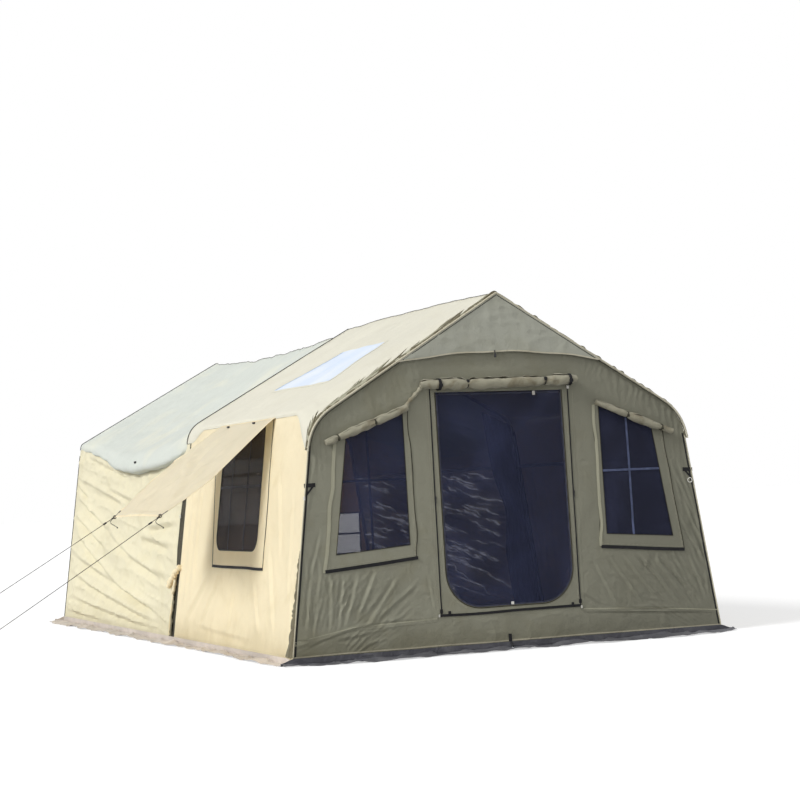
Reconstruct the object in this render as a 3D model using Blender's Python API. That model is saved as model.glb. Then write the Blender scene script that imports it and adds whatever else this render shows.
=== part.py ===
"""A two-room camping tent: tube frame, canvas panels, mesh door and windows, and a propped window awning.

Metres, +Z up. The door is on the -Y side, and the origin is on the ground at the middle of the footprint.
"""

import math

import bmesh
import bpy
from mathutils import Vector

# Overall sizes
FRONT_ROOM = 3.15
REAR_ROOM = 4.30
LENGTH = FRONT_ROOM + REAR_ROOM
HALF_BASE = 1.858
WALL_SLOPE = 0.136
FRONT_LEAN = 0.040
FRONT_PEAK, MIDDLE_PEAK, REAR_PEAK = 2.770, 2.795, 2.800
FRONT_EAVE, MIDDLE_EAVE, REAR_EAVE = 1.790, 1.895, 1.920
FRONT_ROUNDING, BAY_ROUNDING, REAR_ROUNDING = 0.200, 0.018, 0.060
ROUNDED_STRETCH, RIDGE_RISE = 0.30, 0.80
Y_FRONT, Y_MIDDLE, Y_REAR = -LENGTH / 2, -LENGTH / 2 + FRONT_ROOM, LENGTH / 2

# Canvas
CANVAS = 0.003
CUT_BEFORE, CUT_THROUGH = 0.05, 0.10
MESH_CLOTH, MESH_SET_BACK = 0.002, 0.0005
SEAM_GAP = 0.0004
HEM_HEIGHT = 0.040
ROOF_HOOD = 0.030
ROOF_LAP = 0.120
ROOF_BAND, REAR_BAND = 0.012, 0.060
RIDGE_SAG, EAVE_SAG, SLOPE_SAG = 0.090, 0.170, 0.060
SKIRT_MIDDLE, SKIRT_REAR, SKIRT_SAG, BELLY = 1.730, 1.830, 0.190, 0.090
WALL_SLIT_FRONT, WALL_SLIT_REAR = 0.010, 0.024

# Frame tubes
TUBE_RADIUS, BORE_RADIUS, SPIGOT_RADIUS = 0.0160, 0.0142, 0.0137
TUBE_SIDES, ROLL_SIDES = 12, 12
TUBE_INSET = CANVAS + SEAM_GAP * 2 + TUBE_RADIUS
SPIGOT_LENGTH, BORE_DEPTH = 0.070, 0.080
JOINT_GAP, RAIL_GAP = 0.0004, 0.0012
LEG_TOP, RAIL_HEIGHT, RIDGE_TUBE_HEIGHT = 1.560, 1.440, 2.630
TUBE_ROUNDING = 0.120
HUB_REACH = 0.034
HUB_SHARE, POST_SHARE = 0.9, 1.1
FOOT_WIDTH, FOOT_THICKNESS, FOOT_EDGE = 0.080, 0.006, 0.006
LEG_SUNK = 0.0024

# Doorway and front windows, in the leaning plane of the front wall
DOOR_CENTRE = -0.020
DOOR_HALF_WIDTH, DOOR_BOTTOM, DOOR_TOP, DOOR_CORNER = 0.545, 0.330, 2.000, 0.280
DOOR_SIDE_GAP, DOOR_TOP_GAP = 0.0006, 0.0014
ZIP_HALF_WIDTH, SLIDER_HEIGHT = 0.600, 1.185
SLIDER_WIDTH, SLIDER_DEPTH, SLIDER_LENGTH = 0.014, 0.008, 0.022
SLIDER_TAB_WIDTH, SLIDER_TAB_NEAR, SLIDER_TAB_FAR = 0.008, 0.006, 0.010
SLIDER_TAB_ABOVE, SLIDER_TAB_BELOW = 0.004, 0.042
PULL_WIDTH, PULL_DEPTH, PULL_ABOVE, PULL_BELOW, PULL_PLACE = 0.020, 0.008, 0.010, 0.012, 0.016
DOOR_ROLL_RADIUS, DOOR_ROLL_LEFT, DOOR_ROLL_RIGHT = 0.050, -0.705, 0.645
DOOR_ROLL_HEIGHT, DOOR_ROLL_RISE = 2.056, 0.020
WINDOW_INNER_X, WINDOW_OUTER_TOP_X, WINDOW_OUTER_FOOT_X = 0.850, 1.330, 1.462
WINDOW_INNER_TOP, WINDOW_OUTER_TOP, WINDOW_INNER_FOOT, WINDOW_OUTER_FOOT = 1.865, 1.690, 0.835, 0.790
WINDOW_LAP = 0.012
WINDOW_ROLL_RADIUS = 0.042
WINDOW_ROLL_INNER, WINDOW_ROLL_OUTER = (0.822, 1.888), (1.505, 1.636)
PELMET_HALF_WIDTH, PELMET_END, PELMET_MIDDLE = 0.880, 2.230, 2.305

# Side windows, as distances back from the front arch
SIDE_WINDOW_START, SIDE_WINDOW_END, SIDE_WINDOW_FOOT, SIDE_WINDOW_TOP = 1.020, 2.120, 0.820, 1.845
SIDE_WINDOW_CORNER = 0.120
SIDE_ROLL_RADIUS, SIDE_ROLL_RISE = 0.045, 0.010
AWNING_START, AWNING_END, AWNING_LENGTH, AWNING_DROP = 0.850, 2.270, 1.215, 37.0
AWNING_HINGE_HEIGHT, AWNING_HINGE_GAP = 1.872, 0.0015
SKYLIGHT_TOP_X, SKYLIGHT_FOOT_X, SKYLIGHT_GAP = 0.560, 1.130, 0.0008
SKYLIGHT_TOP, SKYLIGHT_FOOT = (1.000, 1.960), (0.820, 2.200)

# Back window
BACK_WINDOW_HALF_WIDTH, BACK_WINDOW_FOOT, BACK_WINDOW_TOP = 0.600, 0.950, 1.700
BACK_ROLL_RADIUS, BACK_ROLL_OVERHANG = 0.045, 0.050

# Ground pieces and ropes
MUD_FLAP_REACH, MUD_FLAP_RISE, MUD_FLAP_OVERHANG = 0.200, 0.050, 0.090
MUD_FLAP_GAP = 0.0006
FLOOR_THICKNESS, FLOOR_GAP = 0.003, 0.001
ROPE_RADIUS, ROPE_POINTS, ROPE_SAG = 0.0025, 70, 0.006
PEG_REACH_NEAR, PEG_REACH_FAR = 1.790, 1.900
PEG_RADIUS, PEG_TIE_HEIGHT, ROPE_PAST_HEM = 0.004, 0.040, 0.010
PEG_SHAPE = [(0, 0.0), (0, 0.050), (0.004, 0.064), (0.015, 0.073), (0.027, 0.068), (0.031, 0.055)]
RUNNER_RADIUS, RUNNER_BORE, RUNNER_LENGTH, RUNNER_PLACE = 0.0070, 0.0031, 0.030, 0.075
LOOP_RADIUS, LOOP_WIRE, LOOP_FORWARD, LOOP_X = 0.020, 0.003, 0.060, -0.060
TAB_WIDTH, TAB_HEIGHT, TAB_LEVEL, TAB_OVERHANG = 0.090, 0.030, 1.310, 0.00516

ALONG_Y = Vector((0, 1, 0))
FRONT_STATIONS = [ROUNDED_STRETCH * i / 6 for i in range(7)]


def material(name, colour, roughness, metallic=0.0):
    made = bpy.data.materials.new(name)
    made.use_nodes = True
    shader = made.node_tree.nodes["Principled BSDF"]
    shader.inputs["Base Color"].default_value = (*colour, 1.0)
    shader.inputs["Roughness"].default_value = roughness
    shader.inputs["Metallic"].default_value = metallic
    return made


def clear_scene():
    for thing in list(bpy.data.objects):
        bpy.data.objects.remove(thing, do_unlink=True)


def add_object(name, points, faces, finish, parent=None, origin=(0, 0, 0)):
    """A mesh object from world points, with its own origin, its faces turned outwards."""
    origin = Vector(origin)
    base = parent.location if parent else Vector()
    mesh = bpy.data.meshes.new(name)
    mesh.from_pydata([tuple(Vector(p) - origin) for p in points], [], faces)
    work = bmesh.new()
    work.from_mesh(mesh)
    bmesh.ops.recalc_face_normals(work, faces=work.faces)
    work.to_mesh(mesh)
    work.free()
    mesh.materials.append(finish)
    made = bpy.data.objects.new(name, mesh)
    bpy.context.scene.collection.objects.link(made)
    made.parent = parent
    made.location = origin - base
    return made


def empty(name, location):
    made = bpy.data.objects.new(name, None)
    made.location = location
    bpy.context.scene.collection.objects.link(made)
    return made


def smooth(thing, angle=40):
    thing.data.shade_smooth()
    thing.data.set_sharp_from_angle(angle=math.radians(angle))
    return thing


def helper(thing):
    """Marks a cutter or an added body, which is no piece of its own."""
    thing.hide_render = True
    thing.display_type = "WIRE"
    return thing


def boolean(thing, other, operation):
    change = thing.modifiers.new(operation.lower(), "BOOLEAN")
    change.operation = operation
    change.object = helper(other)
    return thing


# Outline of the tent


def lerp(a, b, t):
    return a + (b - a) * t


def smoothstep(t):
    t = min(max(t, 0.0), 1.0)
    return t * t * (3 - 2 * t)


def wall_x(z):
    """Half the tent's width at a height, on the outside of the leaning side walls."""
    return HALF_BASE - WALL_SLOPE * z


def place(side, x, back, z, out=0.0):
    """A world point from its half width, its distance behind the front arch and its height."""
    lean = FRONT_LEAN * z * max(0.0, 1 - max(back, 0.0) / FRONT_ROOM)
    return Vector((side * x, Y_FRONT + back + lean - out, z))


def rear_share(back):
    return min(max((back - FRONT_ROOM - ROOF_LAP) / (REAR_ROOM - ROOF_LAP - REAR_BAND), 0.0), 1.0)


def sag_share(back):
    """How much of the full sag the rear roof has here, most a third of the way back."""
    return math.sin(math.pi * rear_share(back) ** 0.75) ** 0.8


def eave_height(back):
    if back <= FRONT_ROOM + ROOF_LAP:
        return lerp(FRONT_EAVE, MIDDLE_EAVE, smoothstep(back / ROUNDED_STRETCH))
    return lerp(MIDDLE_EAVE, REAR_EAVE, rear_share(back)) - EAVE_SAG * sag_share(back)


def rounding(back):
    if back <= FRONT_ROOM + ROOF_LAP:
        return lerp(FRONT_ROUNDING, BAY_ROUNDING, smoothstep(back / ROUNDED_STRETCH))
    return lerp(BAY_ROUNDING, REAR_ROUNDING, rear_share(back))


def ridge_height(back):
    if back <= FRONT_ROOM + ROOF_LAP:
        return lerp(FRONT_PEAK, MIDDLE_PEAK, smoothstep(back / RIDGE_RISE))
    share = rear_share(back)
    return lerp(MIDDLE_PEAK, REAR_PEAK, share) - RIDGE_SAG * math.sqrt(math.sin(math.pi * share))


def skirt_height(back, rear):
    """Height of the roof's lower edge, which is also the top of the wall below it."""
    if not rear:
        return eave_height(back) - rounding(back) - ROOF_BAND
    return lerp(SKIRT_MIDDLE, SKIRT_REAR, rear_share(back)) - SKIRT_SAG * sag_share(back)


def bend(corner, before, after, steps=5):
    """Points of a rounded corner between two points on its straight sides."""
    points = []
    for i in range(steps + 1):
        t = i / steps
        points.append(before * (1 - t) ** 2 + corner * (2 * t * (1 - t)) + after * t * t)
    return points


def roof_section(back, rear):
    """Half a cross-section of the roof as (half width, height), from its lower edge up to the ridge."""
    eave, foot, ridge = eave_height(back), skirt_height(back, rear), ridge_height(back)
    corner = Vector((wall_x(eave), eave))
    top = Vector((0.0, ridge))
    radius = rounding(back)
    below = Vector((wall_x(eave - radius), eave - radius))
    above = corner + (top - corner).normalized() * radius
    skirt = [Vector((wall_x(lerp(foot, below.y, i / 4)), lerp(foot, below.y, i / 4))) for i in range(4)]
    slack = sag_share(back) if rear else 0.0
    lower = skirt + bend(corner, below, above)
    for i, point in enumerate(lower):
        point.x += BELLY * slack * math.sin(math.pi * i / (len(lower) - 1))
    slope = [above.lerp(top, i / 6) for i in range(1, 7)]
    for i, point in enumerate(slope):
        point.y -= SLOPE_SAG * slack * math.sin(math.pi * (i + 1) / 6)
    return lower + slope


def arch_outline(eave, radius, peak):
    """Half an arch as (half width, height), from the ground up to the peak, on the canvas's outside."""
    corner, top = Vector((wall_x(eave), eave)), Vector((0.0, peak))
    below = Vector((wall_x(eave - radius), eave - radius))
    above = corner + (top - corner).normalized() * radius
    return [Vector((wall_x(0), 0.0)), Vector((wall_x(LEG_TOP), LEG_TOP)), *bend(corner, below, above), top]


def inner_line(outline, distance):
    """A half outline of half widths and heights moved inwards, its last point kept on the middle plane."""
    line = [Vector((-p.x, p.y)) for p in outline] + [Vector((outline[-2].x, outline[-2].y))]
    moved = []
    for i in range(len(line) - 1):
        after = (line[i + 1] - line[i]).normalized()
        before = (line[i] - line[i - 1]).normalized() if i else after
        inwards = (Vector((before.y, -before.x)) + Vector((after.y, -after.x))).normalized()
        reach = distance / inwards.dot(Vector((after.y, -after.x)))
        point = line[i] + inwards * reach
        moved.append(Vector((-point.x, point.y)))
    return moved


# Tubes


def ring(centre, across, along, radius, sides):
    points = []
    for i in range(sides):
        angle = 2 * math.pi * i / sides
        points.append(centre + across * radius * math.cos(angle) + along * radius * math.sin(angle))
    return points


def swept(name, rings, finish, closed=False, **options):
    """A closed body through rings of equal size, capped at both ends or joined end to end."""
    sides = len(rings[0])
    points = [p for one in rings for p in one]
    faces = []
    for i in range(len(rings) if closed else len(rings) - 1):
        first, second = i * sides, ((i + 1) % len(rings)) * sides
        for j in range(sides):
            k = (j + 1) % sides
            faces.append((first + j, first + k, second + k, second + j))
    if not closed:
        faces.append(tuple(range(sides)))
        faces.append(tuple(len(points) - sides + j for j in range(sides)))
    return smooth(add_object(name, points, faces, finish, **options))


def tube(
    name, path, finish, flat, radius=TUBE_RADIUS, sides=TUBE_SIDES, spigot=0.0, bores=(0.0, 0.0), **options
):
    """A round bar along a path that lies across the direction flat, with a swaged start or bored ends."""
    path = [Vector(p) for p in path]
    tangents = [(b - a).normalized() for a, b in zip(path, path[1:])]
    rings = []

    def add(centre, tangent, size, stretch=1.0):
        across = flat.cross(tangent).normalized()
        rings.append(ring(centre, across * stretch, tangent.cross(across).normalized(), size, sides))

    first, last = tangents[0], tangents[-1]
    if spigot:
        add(path[0] - first * spigot, first, SPIGOT_RADIUS)
        add(path[0], first, SPIGOT_RADIUS)
    if bores[0]:
        add(path[0] + first * bores[0], first, BORE_RADIUS)
        add(path[0], first, BORE_RADIUS)
    add(path[0], first, radius)
    for i in range(1, len(path) - 1):
        middle = (tangents[i - 1] + tangents[i]).normalized()
        add(path[i], middle, radius, 1 / middle.dot(tangents[i]))
    add(path[-1], last, radius)
    if bores[1]:
        add(path[-1], last, BORE_RADIUS)
        add(path[-1] - last * bores[1], last, BORE_RADIUS)
    return swept(name, rings, finish, **options)


def rod(name, start, end, radius, finish, flat=ALONG_Y, **options):
    return tube(name, [start, end], finish, flat, radius=radius, **options)


def box(name, low, high, finish, **options):
    (x0, y0, z0), (x1, y1, z1) = low, high
    points = [(x, y, z) for x in (x0, x1) for y in (y0, y1) for z in (z0, z1)]
    faces = [(0, 1, 3, 2), (4, 6, 7, 5), (0, 4, 5, 1), (2, 3, 7, 6), (0, 2, 6, 4), (1, 5, 7, 3)]
    return add_object(name, points, faces, finish, **options)


# Cloth


def slab(name, front, back, finish, **options):
    """A closed body between two equal outlines."""
    count = len(front)
    faces = [tuple(range(count)), tuple(count + i for i in reversed(range(count)))]
    faces += [(i, (i + 1) % count, count + (i + 1) % count, count + i) for i in range(count)]
    return add_object(name, list(front) + list(back), faces, finish, **options)


def shell(name, rows, finish, thickness, **options):
    """A curved cloth through rows of points, given its thickness on the inside."""
    width = len(rows[0])
    points = [p for row in rows for p in row]
    faces = []
    for i in range(len(rows) - 1):
        for j in range(width - 1):
            first = i * width + j
            faces.append((first, first + 1, first + width + 1, first + width))
    made = add_object(name, points, faces, finish, **options)
    work = bmesh.new()
    work.from_mesh(made.data)
    if sum(face.normal.z * face.calc_area() for face in work.faces) < 0:
        bmesh.ops.reverse_faces(work, faces=work.faces)
    work.to_mesh(made.data)
    work.free()
    wall = made.modifiers.new("thickness", "SOLIDIFY")
    wall.thickness = thickness
    wall.offset = -1
    wall.use_even_offset = True
    return smooth(made)


def front_slab(name, outline, depth, thickness, finish, **options):
    """A panel in the leaning plane of the front wall, starting this depth behind the wall's outside."""
    near = [place(1, x, 0, z) + ALONG_Y * depth for x, z in outline]
    far = [p + ALONG_Y * thickness for p in near]
    return slab(name, near, far, finish, **options)


def rounded_door(half_width, bottom, top, corner, steps=6):
    """Outline of the doorway: square at the top, round at both lower corners."""
    points = [(DOOR_CENTRE - half_width, top)]
    for side, start in ((-1, math.pi), (1, 1.5 * math.pi)):
        middle = DOOR_CENTRE + side * (half_width - corner)
        for i in range(steps + 1):
            angle = start + i / steps * math.pi / 2
            points.append((middle + corner * math.cos(angle), bottom + corner + corner * math.sin(angle)))
    return points + [(DOOR_CENTRE + half_width, top)]


def front_window(side, lap):
    """Outline of a front window, whose top edge follows the roof's slope."""
    return [
        (side * (WINDOW_INNER_X - lap), WINDOW_INNER_TOP + lap),
        (side * (WINDOW_OUTER_TOP_X + lap), WINDOW_OUTER_TOP + lap),
        (side * (WINDOW_OUTER_FOOT_X + lap), WINDOW_OUTER_FOOT - lap),
        (side * (WINDOW_INNER_X - lap), WINDOW_INNER_FOOT - lap),
    ]


def side_window(lap):
    """Outline of a side window as (distance back, height), with rounded lower corners."""
    radius, steps = SIDE_WINDOW_CORNER, 4
    points = [(SIDE_WINDOW_START - lap, SIDE_WINDOW_TOP + lap)]
    for end, start in ((SIDE_WINDOW_START - lap, math.pi), (SIDE_WINDOW_END + lap, 1.5 * math.pi)):
        middle = end + radius if start == math.pi else end - radius
        for i in range(steps + 1):
            angle = start + i / steps * math.pi / 2
            height = SIDE_WINDOW_FOOT - lap + radius + radius * math.sin(angle)
            points.append((middle + radius * math.cos(angle), height))
    return points + [(SIDE_WINDOW_END + lap, SIDE_WINDOW_TOP + lap)]


def side_slab(name, side, outline, depth, thickness, finish, **options):
    """A panel in the leaning plane of a side wall, its outline as (distance back, height)."""
    across = Vector((-side, 0, -WALL_SLOPE)).normalized()
    near = [place(side, wall_x(z), back, z) + across * depth for back, z in outline]
    far = [p + across * thickness for p in near]
    return slab(name, near, far, finish, **options)


def roll(name, start, end, radius, finish, pinches, wall=ALONG_Y, **options):
    """A rolled-up flap as a long soft bolster, drawn in where it is tied, with its wall in that direction."""
    along = (end - start).normalized()
    across = (wall - along * wall.dot(along)).normalized()
    up = along.cross(across).normalized()
    stops = [(0.0, 0.82), (0.03, 0.97), (0.2, 1.0), (0.4, 0.97)]
    stops += [(0.6, 1.0), (0.8, 0.98), (0.97, 0.97), (1.0, 0.82)]
    for at in pinches:
        stops += [(at - 0.02, 0.98), (at, 0.84), (at + 0.02, 0.98)]
    rings = [ring(start.lerp(end, at), across, up, radius * size, ROLL_SIDES) for at, size in sorted(stops)]
    return swept(name, rings, finish, **options)


# Frame


class Arch:
    """One arch of the frame: where it stands, its outline, and which way its foot plates reach."""

    def __init__(self, name, back, eave, radius, peak, plane, foot_shift):
        self.name = name
        self.back = back
        self.plane = plane
        self.foot_shift = foot_shift
        self.line = inner_line(arch_outline(eave, radius, peak), TUBE_INSET)
        self.parent = empty(name + "_arch", place(0, 0, back, 0))
        self.lean = FRONT_LEAN if back == 0 else 0.0

    def point(self, side, at):
        return place(side, at.x, self.back, at.y) + ALONG_Y * self.plane

    def on_leg(self, side, z):
        foot, top = self.line[0], self.line[1]
        return self.point(side, foot.lerp(top, (z - foot.y) / (top.y - foot.y)))

    def across(self):
        return Vector((0, 1, -self.lean)).normalized()


def make_leg(arch, side, label, rails, finish):
    """A leg with a bored top, its welded foot plate and a stub for each side rail."""
    name = f"{arch.name}_leg_{label}"
    foot = arch.on_leg(side, FOOT_THICKNESS - LEG_SUNK)
    top = arch.point(side, arch.line[1])
    bores = (0.0, BORE_DEPTH + JOINT_GAP)
    leg = tube(name, [foot, top], finish, arch.across(), bores=bores, parent=arch.parent, origin=foot)
    edge = wall_x(0) - FOOT_EDGE
    low = (min(side * edge, side * (edge - FOOT_WIDTH)), foot.y + arch.foot_shift - FOOT_WIDTH / 2, 0)
    high = (low[0] + FOOT_WIDTH, low[1] + FOOT_WIDTH, FOOT_THICKNESS)
    boolean(leg, box(name + "_plate", low, high, finish), "UNION")
    level = arch.on_leg(side, RAIL_HEIGHT)
    for way in rails:
        end = level + ALONG_Y * way * (TUBE_RADIUS + SPIGOT_LENGTH)
        stub = rod(f"{name}_stub{way}", level, end, SPIGOT_RADIUS, finish, flat=Vector((0, 0, 1)))
        boolean(leg, stub, "UNION")
    return leg


def make_rafter(arch, side, label, finish):
    """A rafter: bent at the shoulder, swaged at its foot for the leg, bored at its top for the peak joint."""
    path = [arch.point(side, p) for p in arch.line[1:]]
    path[0] += (path[1] - path[0]).normalized() * JOINT_GAP
    path[-1] += (path[-2] - path[-1]).normalized() * HUB_REACH
    return tube(
        f"{arch.name}_rafter_{label}",
        path,
        finish,
        arch.across(),
        spigot=SPIGOT_LENGTH,
        bores=(0.0, BORE_DEPTH),
        parent=arch.parent,
        origin=path[0],
    )


def make_peak(arch, ridges, finish):
    """The peak joint: a knee for both rafters and, on a short post, a spigot for each ridge tube."""
    name = f"{arch.name}_peak_joint"
    hub = arch.point(1, arch.line[-1])
    half = ALONG_Y * TUBE_RADIUS * HUB_SHARE
    up = Vector((0, 0, 1))
    size = TUBE_RADIUS * HUB_SHARE
    joint = rod(name, hub - half, hub + half, size, finish, flat=up, parent=arch.parent, origin=hub)
    low = Vector((hub.x, hub.y, RIDGE_TUBE_HEIGHT))
    bodies = [(hub, low, SPIGOT_RADIUS), (low - half, low + half, TUBE_RADIUS * POST_SHARE)]
    for side in (-1, 1):
        away = (arch.point(side, arch.line[-2]) - hub).normalized()
        bodies.append((hub, hub + away * (HUB_REACH + SPIGOT_LENGTH), SPIGOT_RADIUS))
    for way in ridges:
        bodies.append((low, low + ALONG_Y * way * (TUBE_RADIUS + SPIGOT_LENGTH), SPIGOT_RADIUS))
    for i, (start, end, radius) in enumerate(bodies):
        flat = arch.across() if abs((end - start).normalized().y) < 0.5 else up
        boolean(joint, rod(f"{name}_{i}", start, end, radius, finish, flat=flat), "UNION")
    return joint


def make_frame(steel):
    arches = [
        Arch("front", 0.0, FRONT_EAVE, FRONT_ROUNDING, FRONT_PEAK, TUBE_INSET, FOOT_WIDTH / 2 - TUBE_RADIUS),
        Arch("middle", FRONT_ROOM, MIDDLE_EAVE, TUBE_ROUNDING, MIDDLE_PEAK, 0.0, 0.0),
        Arch("rear", LENGTH, REAR_EAVE, TUBE_ROUNDING, REAR_PEAK, -TUBE_INSET, TUBE_RADIUS - FOOT_WIDTH / 2),
    ]
    for i, arch in enumerate(arches):
        ways = [(1,), (-1, 1), (-1,)][i]
        for side, label in ((-1, "left"), (1, "right")):
            make_leg(arch, side, label, ways, steel)
            make_rafter(arch, side, label, steel)
        make_peak(arch, ways, steel)
    for first, second, room in ((arches[0], arches[1], "front"), (arches[1], arches[2], "rear")):
        start, end = (Vector((0, a.point(1, a.line[-1]).y, RIDGE_TUBE_HEIGHT)) for a in (first, second))
        clear = ALONG_Y * (TUBE_RADIUS + RAIL_GAP)
        bar(f"ridge_tube_{room}", start + clear, end - clear, steel)
        for side, label in ((-1, "left"), (1, "right")):
            start, end = (a.on_leg(side, RAIL_HEIGHT) for a in (first, second))
            bar(f"side_rail_{room}_{label}", start + clear, end - clear, steel)
    return arches


def bar(name, start, end, finish):
    """A straight tube bored at both ends."""
    bores = (BORE_DEPTH, BORE_DEPTH)
    return tube(name, [start, end], finish, Vector((0, 0, 1)), bores=bores, origin=start)


# Canvas


def rear_stations(count=10):
    """Distances back at which the slack rear roof is drawn, after its first."""
    start, end = FRONT_ROOM + ROOF_LAP, LENGTH - REAR_BAND
    return [lerp(start, end, i / count) for i in range(1, count + 1)] + [LENGTH]


def roof_rows(backs, rear, shift=None):
    rows = []
    for i, back in enumerate(backs):
        half = roof_section(back, rear)
        move = shift if shift and i == 0 else 0.0
        left = [place(-1, p.x, back, p.y, move) for p in half]
        right = [place(1, p.x, back, p.y, move) for p in reversed(half[:-1])]
        rows.append(left + right)
    return rows


def make_roofs(front_cloth, rear_cloth, clear_sheet):
    seam = FRONT_ROOM + ROOF_LAP
    backs = [0.0, *FRONT_STATIONS, 0.55, RIDGE_RISE, FRONT_ROOM, seam - SEAM_GAP]
    rows = roof_rows(backs, False, shift=ROOF_HOOD)
    shell("roof_front", rows, front_cloth, CANVAS, origin=(0, Y_FRONT, FRONT_PEAK))
    backs = [seam + SEAM_GAP, *rear_stations()]
    shell("roof_rear", roof_rows(backs, True), rear_cloth, CANVAS, origin=(0, Y_MIDDLE, MIDDLE_PEAK))

    def on_roof(x, back):
        ridge, eave = ridge_height(back), eave_height(back)
        return place(-1, x, back, lerp(ridge, eave, x / wall_x(eave)))

    corners = [
        on_roof(SKYLIGHT_TOP_X, SKYLIGHT_TOP[0]),
        on_roof(SKYLIGHT_FOOT_X, SKYLIGHT_FOOT[0]),
        on_roof(SKYLIGHT_FOOT_X, SKYLIGHT_FOOT[1]),
        on_roof(SKYLIGHT_TOP_X, SKYLIGHT_TOP[1]),
    ]
    up = (corners[1] - corners[0]).cross(corners[3] - corners[0]).normalized()
    up = up if up.z > 0 else -up
    near = [c + up * SKYLIGHT_GAP for c in corners]
    far = [c + up * MESH_CLOTH for c in near]
    slab("skylight", near, far, clear_sheet, origin=corners[0])


def wall_top(rear):
    """Top edge of a side wall as (distance back, height), just under the roof's lower edge."""
    drop = SEAM_GAP * (6 if rear else 2)
    if not rear:
        backs = [*FRONT_STATIONS, FRONT_ROOM - WALL_SLIT_FRONT]
        return [(b, skirt_height(b, False) - drop) for b in backs]
    seam = FRONT_ROOM + ROOF_LAP
    high = skirt_height(seam, False) - drop
    top = [(FRONT_ROOM + WALL_SLIT_REAR, high), (seam - SEAM_GAP, high)]
    top.append((seam - SEAM_GAP, skirt_height(seam, True) - drop))
    return top + [(b, skirt_height(b, True) - drop) for b in rear_stations()]


def make_side_walls(front_cloth, rear_cloth, mesh_cloth):
    for side, label in ((-1, "left"), (1, "right")):
        top = wall_top(False)
        outline = [(0.0, HEM_HEIGHT), *top, (FRONT_ROOM - WALL_SLIT_FRONT, HEM_HEIGHT)]
        wall = side_slab(f"front_room_wall_{label}", side, outline, 0.0, CANVAS, front_cloth)
        name = f"side_window_cut_{label}"
        cutter = side_slab(name, side, side_window(0.0), -CUT_BEFORE, CUT_THROUGH, front_cloth)
        boolean(wall, cutter, "DIFFERENCE")
        shape = side_window(-DOOR_SIDE_GAP)
        side_slab(f"side_window_mesh_{label}", side, shape, MESH_SET_BACK, MESH_CLOTH, mesh_cloth)
        outline = [(FRONT_ROOM + WALL_SLIT_REAR, HEM_HEIGHT), *wall_top(True), (LENGTH, HEM_HEIGHT)]
        side_slab(f"rear_room_wall_{label}", side, outline, 0.0, CANVAS, rear_cloth)


def end_outline(eave, radius, peak):
    """Outline of an end wall, set inside the side walls and the roof."""
    half = inner_line(arch_outline(eave, radius, peak), CANVAS + SEAM_GAP)
    half[0] = Vector((wall_x(HEM_HEIGHT) - CANVAS - SEAM_GAP * 2, HEM_HEIGHT))
    return [(-p.x, p.y) for p in half] + [(p.x, p.y) for p in reversed(half[:-1])]


def make_front_wall(face, cloth, mesh_cloth, webbing, metal, plastic):
    outline = end_outline(FRONT_EAVE, FRONT_ROUNDING, FRONT_PEAK)
    wall = front_slab("front_wall", outline, 0.0, CANVAS, cloth, parent=face)
    doorway = rounded_door(DOOR_HALF_WIDTH, DOOR_BOTTOM, DOOR_TOP, DOOR_CORNER)
    boolean(wall, front_slab("doorway_cut", doorway, -CUT_BEFORE, CUT_THROUGH, cloth), "DIFFERENCE")
    for side, label in ((-1, "left"), (1, "right")):
        cutter = front_slab(f"window_cut_{label}", front_window(side, 0.0), -CUT_BEFORE, CUT_THROUGH, cloth)
        boolean(wall, cutter, "DIFFERENCE")
        outline = front_window(side, WINDOW_LAP)
        name = f"front_window_mesh_{label}"
        front_slab(name, outline, CANVAS + SEAM_GAP, MESH_CLOTH, mesh_cloth, parent=face)
        centre_out = WINDOW_ROLL_RADIUS + SEAM_GAP * 2
        (x0, z0), (x1, z1) = WINDOW_ROLL_INNER, WINDOW_ROLL_OUTER
        inner = place(side, x0, 0, z0, centre_out)
        outer = place(side, x1, 0, z1, centre_out)
        name = f"front_window_roll_{label}"
        roll(name, inner, outer, WINDOW_ROLL_RADIUS, cloth, (0.15, 0.62), parent=face)
    hinge = place(1, DOOR_CENTRE, 0, DOOR_TOP - DOOR_TOP_GAP) + ALONG_Y * CANVAS / 2
    shape = rounded_door(
        DOOR_HALF_WIDTH - DOOR_SIDE_GAP,
        DOOR_BOTTOM + DOOR_SIDE_GAP,
        DOOR_TOP - DOOR_TOP_GAP,
        DOOR_CORNER - DOOR_SIDE_GAP,
    )
    door = front_slab("door_mesh", shape, MESH_SET_BACK, MESH_CLOTH, mesh_cloth, parent=face, origin=hinge)
    out = DOOR_ROLL_RADIUS + SEAM_GAP * 2
    left = place(1, DOOR_ROLL_LEFT, 0, DOOR_ROLL_HEIGHT, out)
    right = place(1, DOOR_ROLL_RIGHT, 0, DOOR_ROLL_HEIGHT + DOOR_ROLL_RISE, out)
    roll("door_roll", left, right, DOOR_ROLL_RADIUS, cloth, (0.11, 0.29, 0.79, 0.95), parent=face)
    make_pelmet(face, cloth)
    for side, label in ((-1, "left"), (1, "right")):
        make_slider(face, side, label, metal)
        make_tab(face, side, label, webbing)
    make_pull(door, face, plastic)


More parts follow.
